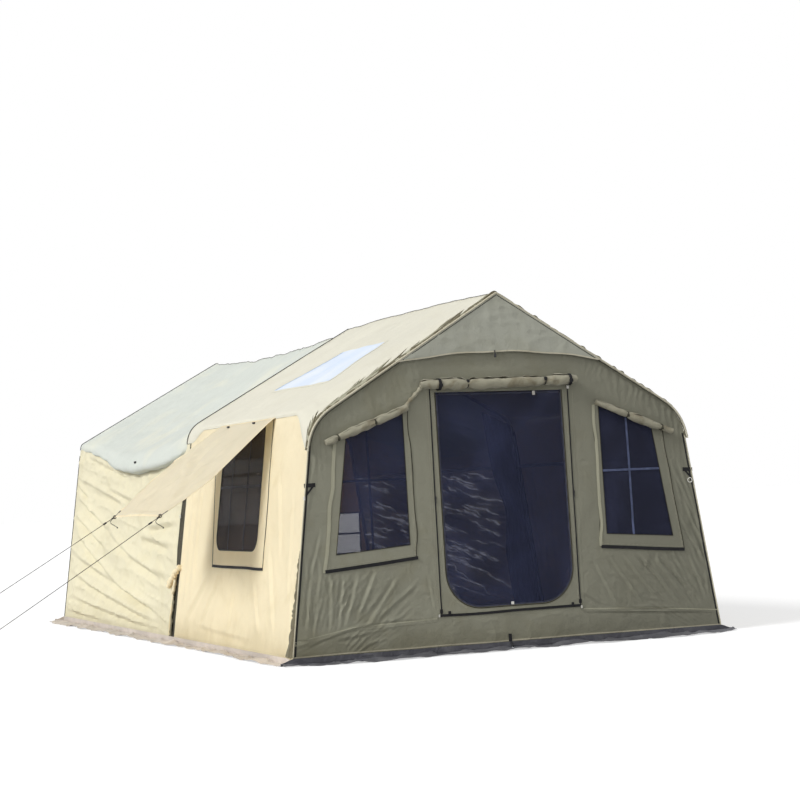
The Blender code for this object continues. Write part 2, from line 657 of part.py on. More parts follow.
def make_pelmet(face, cloth):
    """The gable's upper skin, in front of the wall, from the roof's front edge down to a curved hem."""
    outline = end_outline(FRONT_EAVE, FRONT_ROUNDING, FRONT_PEAK)
    apex, shoulder = outline[len(outline) // 2], outline[len(outline) // 2 - 1]
    end = lerp(apex[1], shoulder[1], PELMET_HALF_WIDTH / -shoulder[0])
    rise = PELMET_MIDDLE - PELMET_END
    shares = (0.8, 0.5, 0.2, -0.2, -0.5, -0.8)
    hem = [(PELMET_HALF_WIDTH * t, PELMET_END + rise * (1 - t * t)) for t in shares]
    shape = [(-PELMET_HALF_WIDTH, end), apex, (PELMET_HALF_WIDTH, end)] + hem
    front_slab("gable_pelmet", shape, -ROOF_HOOD + SEAM_GAP, CANVAS, cloth, parent=face)


def make_slider(face, side, label, metal):
    """A zip slider with its pull tab, on one of the canvas door's long zips."""
    x = DOOR_CENTRE + side * ZIP_HALF_WIDTH
    at = place(1, x, 0, SLIDER_HEIGHT)
    back = at.y - SEAM_GAP * 2
    low = (x - SLIDER_WIDTH / 2, back - SLIDER_DEPTH, SLIDER_HEIGHT - SLIDER_LENGTH / 2)
    high = (x + SLIDER_WIDTH / 2, back, SLIDER_HEIGHT + SLIDER_LENGTH / 2)
    body = box(f"door_zip_slider_{label}", low, high, metal, parent=face, origin=at)
    low = (x - SLIDER_TAB_WIDTH / 2, back - SLIDER_TAB_FAR, SLIDER_HEIGHT - SLIDER_TAB_BELOW)
    high = (x + SLIDER_TAB_WIDTH / 2, back - SLIDER_TAB_NEAR, SLIDER_HEIGHT + SLIDER_TAB_ABOVE)
    return boolean(body, box(f"slider_tab_{label}", low, high, metal), "UNION")


def make_tab(face, side, label, webbing):
    """A webbing tab on the front corner, for a guy rope."""
    half = TAB_WIDTH / 2
    centre = side * (wall_x(TAB_LEVEL) + TAB_OVERHANG - half)
    left, right = centre - half, centre + half
    top = TAB_LEVEL + TAB_HEIGHT
    shape = [(left, TAB_LEVEL), (right, TAB_LEVEL), (right, top), (left, top)]
    front_slab(f"corner_tab_{label}", shape, -CANVAS - SEAM_GAP, CANVAS, webbing, parent=face)


def make_pull(door, face, finish):
    """The toggle at the foot of the mesh door, by which it is lifted."""
    at = place(1, DOOR_CENTRE, 0, DOOR_BOTTOM + PULL_PLACE)
    near = at.y - SEAM_GAP
    low = (at.x - PULL_WIDTH / 2, near - PULL_DEPTH, at.z - PULL_BELOW)
    high = (at.x + PULL_WIDTH / 2, near + SEAM_GAP / 2, at.z + PULL_ABOVE)
    box("door_mesh_pull", low, high, finish, parent=face, origin=door.location + face.location)


def make_back_wall(cloth, mesh_cloth):
    outline = end_outline(REAR_EAVE, REAR_ROUNDING, REAR_PEAK)
    near = [Vector((x, Y_REAR, z)) for x, z in outline]
    wall = slab("back_wall", near, [p - ALONG_Y * CANVAS for p in near], cloth)

    def frame(lap):
        half, low, high = BACK_WINDOW_HALF_WIDTH + lap, BACK_WINDOW_FOOT - lap, BACK_WINDOW_TOP + lap
        return [(-half, low), (half, low), (half, high), (-half, high)]

    cut = [Vector((x, Y_REAR + CUT_BEFORE, z)) for x, z in frame(0.0)]
    cutter = slab("back_window_cut", cut, [p - ALONG_Y * CUT_THROUGH for p in cut], cloth)
    boolean(wall, cutter, "DIFFERENCE")
    near = [Vector((x, Y_REAR - CANVAS - SEAM_GAP, z)) for x, z in frame(WINDOW_LAP)]
    slab("back_window_mesh", near, [p - ALONG_Y * MESH_CLOTH for p in near], mesh_cloth)
    level = BACK_WINDOW_TOP + BACK_ROLL_RADIUS
    half = BACK_WINDOW_HALF_WIDTH + BACK_ROLL_OVERHANG
    start = Vector((-half, Y_REAR + BACK_ROLL_RADIUS + SEAM_GAP * 2, level))
    end = start + Vector((half * 2, 0, 0))
    roll("back_window_roll", start, end, BACK_ROLL_RADIUS, cloth, (0.2, 0.8), wall=-ALONG_Y)


def make_awning(cloth):
    """The left window's storm flap, held out from its top edge by two ropes. Returns its outer corners."""
    hinge_x = wall_x(AWNING_HINGE_HEIGHT) + AWNING_HINGE_GAP
    angle = math.radians(AWNING_DROP)
    reach, drop = AWNING_LENGTH * math.cos(angle), AWNING_LENGTH * math.sin(angle)
    across = Vector((-math.sin(angle), 0, math.cos(angle))) * MESH_CLOTH / 2
    start, end = Y_FRONT + AWNING_START, Y_FRONT + AWNING_END
    inner = [Vector((-hinge_x, y, AWNING_HINGE_HEIGHT)) for y in (start, end)]
    outer = [p + Vector((-reach, 0, -drop)) for p in inner]
    outline = [inner[0], inner[1], outer[1], outer[0]]
    hinge = (inner[0] + inner[1]) / 2
    slab("awning_flap", [p + across for p in outline], [p - across for p in outline], cloth, origin=hinge)
    return outer


def rope_route(corner, reach):
    """Points of a guy rope from just past the flap's corner down to its peg, on a slight sag."""
    along = Vector((-math.cos(math.radians(AWNING_DROP)), 0, -math.sin(math.radians(AWNING_DROP))))
    start = corner + along * SEAM_GAP * 2
    end = Vector((corner.x - reach + PEG_RADIUS + ROPE_RADIUS * 0.6 + SEAM_GAP, corner.y, PEG_TIE_HEIGHT))
    points = []
    for i in range(ROPE_POINTS):
        t = i / (ROPE_POINTS - 1)
        points.append(start.lerp(end, t) - Vector((0, 0, ROPE_SAG * 4 * t * (1 - t))))
    return points


def make_rope(name, route, finish):
    curve = bpy.data.curves.new(name, "CURVE")
    curve.dimensions = "3D"
    curve.bevel_depth = ROPE_RADIUS
    curve.bevel_resolution = 2
    curve.use_fill_caps = True
    line = curve.splines.new("POLY")
    line.points.add(len(route) - 1)
    for point, at in zip(line.points, route):
        point.co = (*(at - route[0]), 1)
    curve.materials.append(finish)
    rope = bpy.data.objects.new(name, curve)
    rope.location = route[0]
    bpy.context.scene.collection.objects.link(rope)
    return rope


def make_runner(name, route, finish):
    """A short sleeve that slides on a guy rope."""
    walked = 0.0
    for a, b in zip(route, route[1:]):
        walked += (b - a).length
        if walked >= RUNNER_PLACE:
            break
    along = (b - a).normalized()
    across = ALONG_Y.cross(along).normalized()
    up = along.cross(across)
    start = b - along * RUNNER_LENGTH / 2
    end = start + along * RUNNER_LENGTH
    rings = [ring(p, across, up, r, 10) for p, r in
             ((start, RUNNER_RADIUS), (end, RUNNER_RADIUS), (end, RUNNER_BORE), (start, RUNNER_BORE))]
    return swept(name, rings, finish, closed=True, origin=b)


def make_peg(name, x, y, finish):
    """The part of a hooked peg that stands above the ground."""
    path = [(x - away, y, z) for away, z in PEG_SHAPE]
    return tube(name, path, finish, ALONG_Y, radius=PEG_RADIUS, sides=8, origin=(x, y, 0))


def make_guys(corners, rope_finish, metal, plastic):
    for corner, reach, label in zip(corners, (PEG_REACH_NEAR, PEG_REACH_FAR), ("near", "far")):
        corner = corner + ALONG_Y * (ROPE_PAST_HEM if label == "near" else -ROPE_PAST_HEM)
        route = rope_route(corner, reach)
        make_rope(f"guy_rope_{label}", route, rope_finish)
        make_runner(f"guy_runner_{label}", route, plastic)
        make_peg(f"guy_peg_{label}", corner.x - reach, corner.y, metal)


def make_side_roll(cloth):
    """The right window's storm flap, rolled up under the eave."""
    level = SIDE_WINDOW_TOP - SIDE_ROLL_RADIUS + SIDE_ROLL_RISE
    out = Vector((1, 0, WALL_SLOPE)).normalized()
    start, end = (
        place(1, wall_x(level), back, level) + out * (SIDE_ROLL_RADIUS + SEAM_GAP)
        for back in (AWNING_START, AWNING_END)
    )
    roll("side_window_roll_right", start, end, SIDE_ROLL_RADIUS, cloth, (0.2, 0.8), wall=-out)


def mud_strip(name, start, end, out, finish):
    """A strip sewn to a hem: a low upright band, and a skirt that lies on the ground in the direction out."""
    start, end, out = Vector(start), Vector(end), Vector(out)
    up = Vector((0, 0, 1))
    t = CANVAS
    profile = [
        (MUD_FLAP_GAP, 0.0), (MUD_FLAP_REACH, 0.0), (MUD_FLAP_REACH, t),
        (MUD_FLAP_GAP + t, t), (MUD_FLAP_GAP + t, MUD_FLAP_RISE), (MUD_FLAP_GAP, MUD_FLAP_RISE),
    ]
    near = [start + out * a + up * b for a, b in profile]
    far = [end + out * a + up * b for a, b in profile]
    return slab(name, near, far, finish, origin=start)


def make_ground_pieces(floor_cloth, front_strip, side_strip, metal):
    half = wall_x(0) - FOOT_EDGE - FOOT_WIDTH - SEAM_GAP
    clear = CANVAS + FLOOR_GAP
    low, high = (-half, Y_FRONT + clear, 0), (half, Y_REAR - clear, FLOOR_THICKNESS)
    box("groundsheet", low, high, floor_cloth, origin=(0, 0, 0))
    edge = wall_x(0)
    wide = edge + MUD_FLAP_OVERHANG
    gap = MUD_FLAP_GAP
    front_y = Y_FRONT
    mud_strip("mud_flap_front", (-wide, front_y, 0), (wide, front_y, 0), (0, -1, 0), front_strip)
    mud_strip("mud_flap_rear", (-wide, Y_REAR, 0), (wide, Y_REAR, 0), (0, 1, 0), side_strip)
    for side, label in ((-1, "left"), (1, "right")):
        x = side * edge
        start, end = (x, Y_FRONT + gap / 2, 0), (x, Y_REAR - gap / 2, 0)
        mud_strip(f"mud_flap_{label}", start, end, (side, 0, 0), side_strip)
    make_peg_loop(metal)


def make_peg_loop(metal):
    """The steel ring in which the middle of the front hem is pegged down, lying on the mud flap."""
    centre = Vector((LOOP_X, Y_FRONT - LOOP_FORWARD, CANVAS + LOOP_WIRE + SEAM_GAP))
    rings = []
    for i in range(16):
        angle = 2 * math.pi * i / 16
        away = Vector((math.cos(angle), math.sin(angle), 0))
        rings.append(ring(centre + away * LOOP_RADIUS, away, Vector((0, 0, 1)), LOOP_WIRE, 6))
    swept("peg_loop_ring", rings, metal, closed=True, origin=centre)


def main():
    clear_scene()
    steel = material("galvanised steel tube", (0.42, 0.43, 0.44), 0.38, 0.9)
    olive = material("olive canvas", (0.42, 0.40, 0.28), 0.9)
    cream = material("cream canvas", (0.83, 0.77, 0.55), 0.9)
    beige = material("beige roof canvas", (0.74, 0.72, 0.61), 0.85)
    grey = material("grey roof canvas", (0.66, 0.69, 0.66), 0.8)
    netting = material("dark insect mesh", (0.03, 0.03, 0.06), 0.7)
    clear_sheet = material("clear window sheet", (0.75, 0.82, 0.92), 0.2)
    dark = material("black webbing", (0.02, 0.02, 0.02), 0.7)
    mud = material("grey mud flap", (0.12, 0.12, 0.13), 0.6)
    pale_mud = material("pale mud flap", (0.55, 0.50, 0.47), 0.7)
    sheet = material("groundsheet", (0.20, 0.22, 0.20), 0.6)
    cord = material("dark guy rope", (0.05, 0.05, 0.05), 0.8)
    plastic = material("black plastic", (0.03, 0.03, 0.03), 0.5)
    black_metal = material("black painted metal", (0.02, 0.02, 0.02), 0.4, 0.6)
    white = material("white plastic", (0.85, 0.85, 0.83), 0.5)
    make_frame(steel)
    face = empty("front_face", place(0, 0, 0, 0))
    make_roofs(beige, grey, clear_sheet)
    make_side_walls(cream, cream, netting)
    make_front_wall(face, olive, netting, dark, black_metal, white)
    make_back_wall(cream, netting)
    make_guys(make_awning(beige), cord, steel, plastic)
    make_side_roll(cream)
    make_ground_pieces(sheet, mud, pale_mud, steel)


main()
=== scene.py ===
"""The looks of a two-room canvas camping tent: its cloth, netting, zips, webbing and ropes.

Metres, +Z up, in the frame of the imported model. Each cloth panel repeats its part of the tent's outline as a
formula of its own two coordinates, and its folds stand along its outward direction.
"""

import math

import bmesh
import bpy
import numpy as np
from mathutils import Matrix, Vector
from mathutils.geometry import delaunay_2d_cdt


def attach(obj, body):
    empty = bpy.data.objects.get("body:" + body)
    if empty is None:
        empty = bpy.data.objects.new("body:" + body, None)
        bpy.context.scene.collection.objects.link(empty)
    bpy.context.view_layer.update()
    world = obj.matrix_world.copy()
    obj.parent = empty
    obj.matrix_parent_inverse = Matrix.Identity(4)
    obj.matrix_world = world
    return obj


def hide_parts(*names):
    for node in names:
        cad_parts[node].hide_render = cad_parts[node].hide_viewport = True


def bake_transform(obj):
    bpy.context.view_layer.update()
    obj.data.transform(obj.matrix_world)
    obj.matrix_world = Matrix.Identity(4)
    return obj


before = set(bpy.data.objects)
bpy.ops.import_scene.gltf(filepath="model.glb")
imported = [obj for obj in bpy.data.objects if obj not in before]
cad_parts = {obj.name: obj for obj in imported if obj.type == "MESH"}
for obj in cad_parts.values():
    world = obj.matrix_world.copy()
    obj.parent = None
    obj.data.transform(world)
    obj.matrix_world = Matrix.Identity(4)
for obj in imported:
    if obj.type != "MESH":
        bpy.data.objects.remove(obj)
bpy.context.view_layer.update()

SIDES = ((-1, "left"), (1, "right"))

# Outline of the tent
FRONT_ROOM, REAR_ROOM = 3.15, 4.30
LENGTH = FRONT_ROOM + REAR_ROOM
HALF_BASE, WALL_SLOPE, FRONT_LEAN = 1.858, 0.136, 0.040
FRONT_PEAK, MIDDLE_PEAK, REAR_PEAK = 2.770, 2.795, 2.800
FRONT_EAVE, MIDDLE_EAVE, REAR_EAVE = 1.790, 1.895, 1.920
FRONT_ROUNDING, BAY_ROUNDING, SEAM_ROUNDING, REAR_ROUNDING = 0.200, 0.018, 0.120, 0.026
SEAM_STRETCH = 0.42
ROUNDED_STRETCH, RIDGE_RISE = 0.30, 0.80
ROOF_HOOD, ROOF_LAP, ROOF_BAND, REAR_BAND = 0.030, 0.120, 0.012, 0.060
RIDGE_SAG, EAVE_SAG, SLOPE_SAG = 0.090, 0.170, 0.060
SKIRT_MIDDLE, SKIRT_REAR, SKIRT_SAG, BELLY = 1.730, 1.830, 0.225, 0.090
Y_FRONT, Y_REAR = -LENGTH / 2, LENGTH / 2
ROOF_SEAM = FRONT_ROOM + ROOF_LAP
HEM, RAIL_HEIGHT = 0.040, 1.440
SLIT_FRONT, SLIT_REAR, DIVIDER_INSET = 0.010, 0.024, 0.060

# Thicknesses of cloth, netting and tape, and the steps of the finest grids
CLOTH, NET, TAPE, PATCH, THIN = 0.0016, 0.0008, 0.0016, 0.0014, 0.0012
FRONT_SPACING, ROOF_SPACING, REAR_SPACING = 0.0118, 0.018, 0.024
# Heights above a cloth: on it, on a sewn-on patch or tape, and over that patch's seam
NEAR, ON_CLOTH, ON_TAPE, ON_PATCH, ON_SEAM = 0.0006, 0.0008, 0.0022, 0.0024, 0.0028
# Height of the netting that is sewn on behind a wall
BEHIND = -0.0034

# Doorway, front windows and pelmet, in the plane of the front wall
DOOR_CENTRE, DOOR_HALF, DOOR_FOOT, DOOR_TOP, DOOR_CORNER = -0.020, 0.545, 0.330, 2.000, 0.280
DOOR_GAP, DOOR_TOP_GAP = 0.0006, 0.0014
ZIPS = {"left": [(-0.614, 2.035), (-0.626, 0.285)], "right": [(0.586, 2.055), (0.574, 0.285)]}
DOOR_ROLL = ((-0.705, 2.056), (0.645, 2.076), 0.050)
WINDOW_INNER_X, WINDOW_OUTER_TOP_X, WINDOW_OUTER_FOOT_X = 0.850, 1.330, 1.462
WINDOW_INNER_TOP, WINDOW_OUTER_TOP, WINDOW_INNER_FOOT, WINDOW_OUTER_FOOT = 1.865, 1.690, 0.835, 0.790
WINDOW_LAP = 0.012
WINDOW_ROLL = ((0.822, 1.888), (1.505, 1.636), 0.042)
PELMET_HALF, PELMET_END, PELMET_MIDDLE = 0.880, 2.230, 2.305

# Side windows, awning and skylight, as distances back from the front arch
SIDE_START, SIDE_END, SIDE_FOOT, SIDE_TOP, SIDE_CORNER = 1.020, 2.120, 0.820, 1.845, 0.120
AWNING_START, AWNING_END, AWNING_LENGTH, AWNING_DROP = 0.850, 2.270, 1.215, math.radians(37)
AWNING_HINGE_Z, AWNING_HINGE_GAP, AWNING_FOLD = 1.872, 0.0015, math.radians(40)
# Distance from the wall per metre of flap, with the awning folded down to its limit
AWNING_CLEARANCE = math.cos(AWNING_DROP + AWNING_FOLD + math.atan(WALL_SLOPE))
SIDE_ROLL_RADIUS, SIDE_ROLL_RISE = 0.045, 0.010
SKYLIGHT = [(0.560, 1.000), (1.130, 0.820), (1.130, 2.200), (0.560, 1.960)]
BACK_VENT_NEAR, BACK_VENT_FAR, BACK_VENT_FOOT, BACK_VENT_TOP = 1.290, 1.675, 0.560, 1.020
BACK_HALF, BACK_FOOT, BACK_TOP, BACK_ROLL, BACK_OVERHANG = 0.600, 0.950, 1.700, 0.045, 0.050

# Ground and ropes
FLAP_RISE, FLAP_OVERHANG = 0.050, 0.090
ROPE_RADIUS, ROPE_POINTS, ROPE_SAG, ROPE_PAST_HEM = 0.0025, 70, 0.006, 0.010
PEG_REACH = {"near": 1.790, "far": 1.900}
PEG_RADIUS, PEG_TIE = 0.004, 0.040
# Distance from the peg's middle to the middle of the rope that is tied to it
PEG_SIDE = PEG_RADIUS + ROPE_RADIUS * 0.6 + 0.0004
TAB_LEVEL, TAB_HEIGHT = 1.310, 0.030


# Formulas of the outline, for single numbers or arrays


def lerp(a, b, t):
    return a + (b - a) * t


def ease(t):
    t = np.clip(t, 0.0, 1.0)
    return t * t * (3 - 2 * t)


def unit(v):
    v = np.asarray(v, float)
    return v / np.linalg.norm(v, axis=-1, keepdims=True)


def wall_x(z):
    """Half the tent's width at a height, on the outside of the leaning side walls."""
    return HALF_BASE - WALL_SLOPE * z


def rear_share(back):
    return float(np.clip((back - ROOF_SEAM) / (REAR_ROOM - ROOF_LAP - REAR_BAND), 0, 1))


def sag_share(back):
    share = rear_share(back)
    taut = lerp(1.0, 0.45, ease((share - 0.45) / 0.45))
    return taut * max(math.sin(math.pi * share ** 0.75), 0.0) ** 0.8


def eave_height(back):
    if back <= ROOF_SEAM:
        return lerp(FRONT_EAVE, MIDDLE_EAVE, ease(back / ROUNDED_STRETCH))
    return lerp(MIDDLE_EAVE, REAR_EAVE, rear_share(back)) - EAVE_SAG * sag_share(back)


def rounding(back):
    if back <= ROOF_SEAM:
        bay = lerp(FRONT_ROUNDING, BAY_ROUNDING, ease(back / ROUNDED_STRETCH))
        return lerp(bay, SEAM_ROUNDING, ease((back - FRONT_ROOM + SEAM_STRETCH) / SEAM_STRETCH))
    return lerp(SEAM_ROUNDING, REAR_ROUNDING, rear_share(back))


def ridge_height(back):
    if back <= ROOF_SEAM:
        return lerp(FRONT_PEAK, MIDDLE_PEAK, ease(back / RIDGE_RISE))
    share = rear_share(back)
    return lerp(MIDDLE_PEAK, REAR_PEAK, share) - RIDGE_SAG * math.sqrt(max(math.sin(math.pi * share), 0))


def skirt_height(back, rear):
    if not rear:
        return eave_height(back) - rounding(back) - ROOF_BAND
    drawn_up = 0.034 * float(ease((rear_share(back) - 0.60) / 0.30))
    return lerp(SKIRT_MIDDLE, SKIRT_REAR, rear_share(back)) - SKIRT_SAG * sag_share(back) + drawn_up


def curve(before, corner, after, count):
    t = np.linspace(0, 1, count)[:, None]
    return np.array(before) * (1 - t) ** 2 + np.array(corner) * 2 * t * (1 - t) + np.array(after) * t * t


def roof_line(back, rear):
    """Half a cross-section of the roof as (half width, height), from its lower edge up to the ridge."""
    eave, foot, radius = eave_height(back), skirt_height(back, rear), rounding(back)
    corner, top = np.array([wall_x(eave), eave]), np.array([0.0, ridge_height(back)])
    below = np.array([wall_x(eave - radius), eave - radius])
    above = corner + unit(top - corner) * radius
    share = np.linspace(0, 1, 8, endpoint=False)
    heights = lerp(foot, below[1], share)
    lower = np.vstack([np.stack([wall_x(heights), heights], 1), curve(below, corner, above, 15)])
    at = np.concatenate([share * 4 / 9, np.linspace(4 / 9, 1, 15)])
    slack = sag_share(back) if rear else 0.0
    lower[:, 0] += BELLY * slack * np.sin(math.pi * at ** 0.45)
    rise = np.linspace(0, 1, 31)[1:, None]
    slope = lerp(above, top, rise)
    slope[:, 1] -= SLOPE_SAG * slack * np.sin(math.pi * rise[:, 0])
    return np.vstack([lower, slope])


def arch_line(eave, radius, peak, inset, foot):
    """Outline of an end wall, from its left foot over the peak to its right foot, moved inwards by inset."""
    corner, top = np.array([wall_x(eave), eave]), np.array([0.0, peak])
    below = np.array([wall_x(eave - radius), eave - radius])
    above = corner + unit(top - corner) * radius
    half = np.vstack([[[wall_x(foot), foot]], curve(below, corner, above, 9), [top]])
    away = unit(np.gradient(half, axis=0))
    half = half + np.stack([-away[:, 1], away[:, 0]], 1) * inset
    half[0, 1] = foot
    half[-1] = (0.0, peak - inset * 1.12)
    left = half * [-1, 1]
    return np.vstack([left, half[-2::-1]])


# Folds, as heights over a panel's own two coordinates


def noise(u, v, size, seed=0):
    """Smooth value noise from -1 to 1."""
    x, y = np.asarray(u) / size + seed * 17.31, np.asarray(v) / size + seed * 9.17
    x0, y0 = np.floor(x), np.floor(y)
    fx, fy = ease(x - x0), ease(y - y0)

    def corner(i, j):
        value = np.sin((x0 + i) * 127.1 + (y0 + j) * 311.7 + seed * 3.7) * 43758.5453
        return (value - np.floor(value)) * 2 - 1

    low = lerp(corner(0, 0), corner(1, 0), fx)
    high = lerp(corner(0, 1), corner(1, 1), fx)
    return lerp(low, high, fy)


def crumple(u, v, size, seed=0):
    """Noise in three sizes."""
    finer = 0.5 * noise(u, v, size / 2.1, seed + 1)
    return noise(u, v, size, seed) + finer + 0.25 * noise(u, v, size / 4.3, seed + 2)


def creases(u, v, size, seed=0):
    """Sharp-edged creases where the noise changes its sign, from 0 to 1."""
    return (1 - np.abs(noise(u, v, size, seed))) ** 5


def fold(u, v, points, width, height, upright=False):
    """A crest with a trough below it, along a curve through two or three points, fading out at both ends."""
    points = np.array(points, float)
    if upright:
        u, v, points = v, u, points[:, ::-1]
    start, end = points[0, 0], points[-1, 0]
    line = np.polyfit(points[:, 0], points[:, 1], len(points) - 1)
    tilt = math.hypot(1, (points[-1, 1] - points[0, 1]) / (end - start))
    along = (u - start) / (end - start)
    across = (v - np.polyval(line, u)) / tilt / width
    fade = ease(along / 0.22) * ease((1 - along) / 0.30)
    return height * fade * across * np.exp(0.5 - across * across / 2)


def edge_distance(u, v, loop):
    """Distance of each point to the nearest side of a closed outline."""
    nearest = np.full(np.shape(u), 1e9)
    for a, b in zip(loop, np.roll(loop, -1, axis=0)):
        run = b - a
        t = np.clip(((u - a[0]) * run[0] + (v - a[1]) * run[1]) / max(run @ run, 1e-12), 0, 1)
        nearest = np.minimum(nearest, np.hypot(u - a[0] - t * run[0], v - a[1] - t * run[1]))
    return nearest


def inside(u, v, loop):
    """Whether each point lies inside a closed outline."""
    within = np.zeros(np.shape(u), bool)
    for a, b in zip(loop, np.roll(loop, -1, axis=0)):
        if a[1] == b[1]:
            continue
        crosses = ((a[1] > v) != (b[1] > v)) & (u < (b[0] - a[0]) * (v - a[1]) / (b[1] - a[1]) + a[0])
        within ^= crosses
    return within


# Cloths: places in the tent for a panel's own coordinates


class Cloth:
    """A hanging cloth. base turns (u, v) into points and outward directions, relief gives the folds' height,
    and the folds die away near the given outline, where the cloth is sewn."""

    def __init__(self, base, relief, outline=None, held=0.03, fade=0.07):
        self.base, self.relief = base, relief
        self.outline = None if outline is None else np.array(outline, float)
        self.held, self.fade = held, fade

    def height(self, u, v):
        height = self.relief(u, v)
        if self.outline is not None:
            height = height * ease((edge_distance(u, v, self.outline) - self.held) / self.fade)
        return height

    def at(self, path, out=0.0):
        path = np.atleast_2d(np.asarray(path, float))
        points, away = self.base(path[:, 0], path[:, 1])
        return points + away * (self.height(path[:, 0], path[:, 1]) + out)[:, None]


def front_base(x, z):
    points = np.stack([x, Y_FRONT + FRONT_LEAN * z, z], 1)
    return points, unit(np.broadcast_to([0.0, -1.0, FRONT_LEAN], points.shape))


def back_base(x, z):
    points = np.stack([x, np.full_like(x, Y_REAR), z], 1)
    return points, np.broadcast_to([0.0, 1.0, 0.0], points.shape)


def side_base(side):
    def base(back, z):
        lean = FRONT_LEAN * z * np.clip(1 - np.maximum(back, 0) / FRONT_ROOM, 0, 1)
        points = np.stack([side * wall_x(z), Y_FRONT + back + lean, z], 1)
        return points, unit(np.broadcast_to([side, 0.0, WALL_SLOPE], points.shape))

    return base


def awning_base(along, away):
    """The propped flap: along runs from its near to its far edge, away from the hinge to the hem."""
    hinge_x = wall_x(AWNING_HINGE_Z) + AWNING_HINGE_GAP
    x = -hinge_x - away * math.cos(AWNING_DROP)
    z = AWNING_HINGE_Z - away * math.sin(AWNING_DROP)
    points = np.stack([x, Y_FRONT + AWNING_START + along, z], 1)
    return points, unit(np.broadcast_to([-math.sin(AWNING_DROP), 0.0, math.cos(AWNING_DROP)], points.shape))


class Roof:
    """A roof cloth as a grid, read at a distance back and a signed distance from the ridge, left negative."""

    def __init__(self, backs, rear, spacing, relief):
        self.backs = np.array(backs, float)
        half = int(2.35 / spacing)
        share = np.linspace(-1, 1, 2 * half + 1)
        points, reach = [], []
        for i, back in enumerate(self.backs):
            back = float(back)
            line = roof_line(max(back, 0.0), rear)
            steps = np.concatenate([[0], np.cumsum(np.linalg.norm(np.diff(line, axis=0), axis=1))])
            reach.append(steps[-1])
            where = (1 - np.abs(share)) * steps[-1]
            x = np.interp(where, steps, line[:, 0]) * np.where(share < 0, -1, 1)
            z = np.interp(where, steps, line[:, 1])
            lean = FRONT_LEAN * z * np.clip(1 - max(back, 0.0) / FRONT_ROOM, 0, 1)
            points.append(np.stack([x, Y_FRONT + back + lean, z], 1))
        self.share, self.reach = share, np.array(reach)
        flat = np.array(points)
        away = np.cross(np.gradient(flat, axis=1), np.gradient(flat, axis=0))
        away = unit(away)
        if away[:, :, 2].sum() < 0:
            away = -away
        self.u = np.repeat(self.backs[:, None], len(share), 1)
        self.v = share[None, :] * self.reach[:, None]
        self.points = flat + away * relief(self.u, self.v)[:, :, None]
        self.away = away

    def at(self, path, out=0.0):
        path = np.atleast_2d(np.asarray(path, float))
        row = np.interp(path[:, 0], self.backs, np.arange(len(self.backs)))
        reach = np.interp(path[:, 0], self.backs, self.reach)
        column = np.interp(path[:, 1] / reach, self.share, np.arange(len(self.share)))
        i = np.minimum(row.astype(int), len(self.backs) - 2)
        j = np.minimum(column.astype(int), len(self.share) - 2)
        fi, fj = (row - i)[:, None], (column - j)[:, None]

        def read(grid):
            near = lerp(grid[i, j], grid[i + 1, j], fi)
            return lerp(near, lerp(grid[i, j + 1], grid[i + 1, j + 1], fi), fj)

        return read(self.points) + read(self.away) * np.reshape(out, (-1, 1))


# Meshes


def make_piece(name, points, faces, uv, finish, body="tent", turn_out=False):
    """A piece of the object from points, faces and its own coordinates in metres, riding on a body."""
    mesh = bpy.data.meshes.new(name)
    mesh.from_pydata(np.asarray(points).tolist(), [], faces)
    if turn_out:
        work = bmesh.new()
        work.from_mesh(mesh)
        bmesh.ops.recalc_face_normals(work, faces=work.faces)
        work.to_mesh(mesh)
        work.free()
    corners = np.zeros(len(mesh.loops), np.int32)
    mesh.loops.foreach_get("vertex_index", corners)
    layer = mesh.uv_layers.new(name="cut")
    layer.data.foreach_set("uv", np.asarray(uv, np.float32)[corners].ravel())
    mesh.shade_smooth()
    mesh.set_sharp_from_angle(angle=math.radians(50))
    mesh.materials.append(finish)
    piece = bpy.data.objects.new(name, mesh)
    bpy.context.scene.collection.objects.link(piece)
    if body:
        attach(piece, body)
    return piece


def closed_cloth(outer, inner, faces):
    """A closed thin body from a sheet's two sides and its faces, which turn towards the outer side."""
    count = len(outer)
    following = np.roll(faces, -1, axis=1)
    edges = np.concatenate([np.stack([faces[:, k], following[:, k]], 1) for k in range(faces.shape[1])])
    keys, backwards = edges[:, 0] * count + edges[:, 1], edges[:, 1] * count + edges[:, 0]
    rim = edges[~np.isin(backwards, keys)]
    sides = np.stack([rim[:, 1], rim[:, 0], rim[:, 0] + count, rim[:, 1] + count], 1)
    return np.vstack([outer, inner]), faces.tolist() + (faces[:, ::-1] + count).tolist() + sides.tolist()


def walk(path, step, closed=False):
    """Points along a path at nearly even steps, its corners kept."""
    path = np.asarray(path, float)
    ends = np.vstack([path, path[:1]]) if closed else path
    found = []
    for a, b in zip(ends, ends[1:]):
        count = max(1, int(round(np.linalg.norm(b - a) / step)))
        found.append(lerp(a, b, (np.arange(count) / count)[:, None]))
    if not closed:
        found.append(ends[-1:])
    return np.vstack(found)


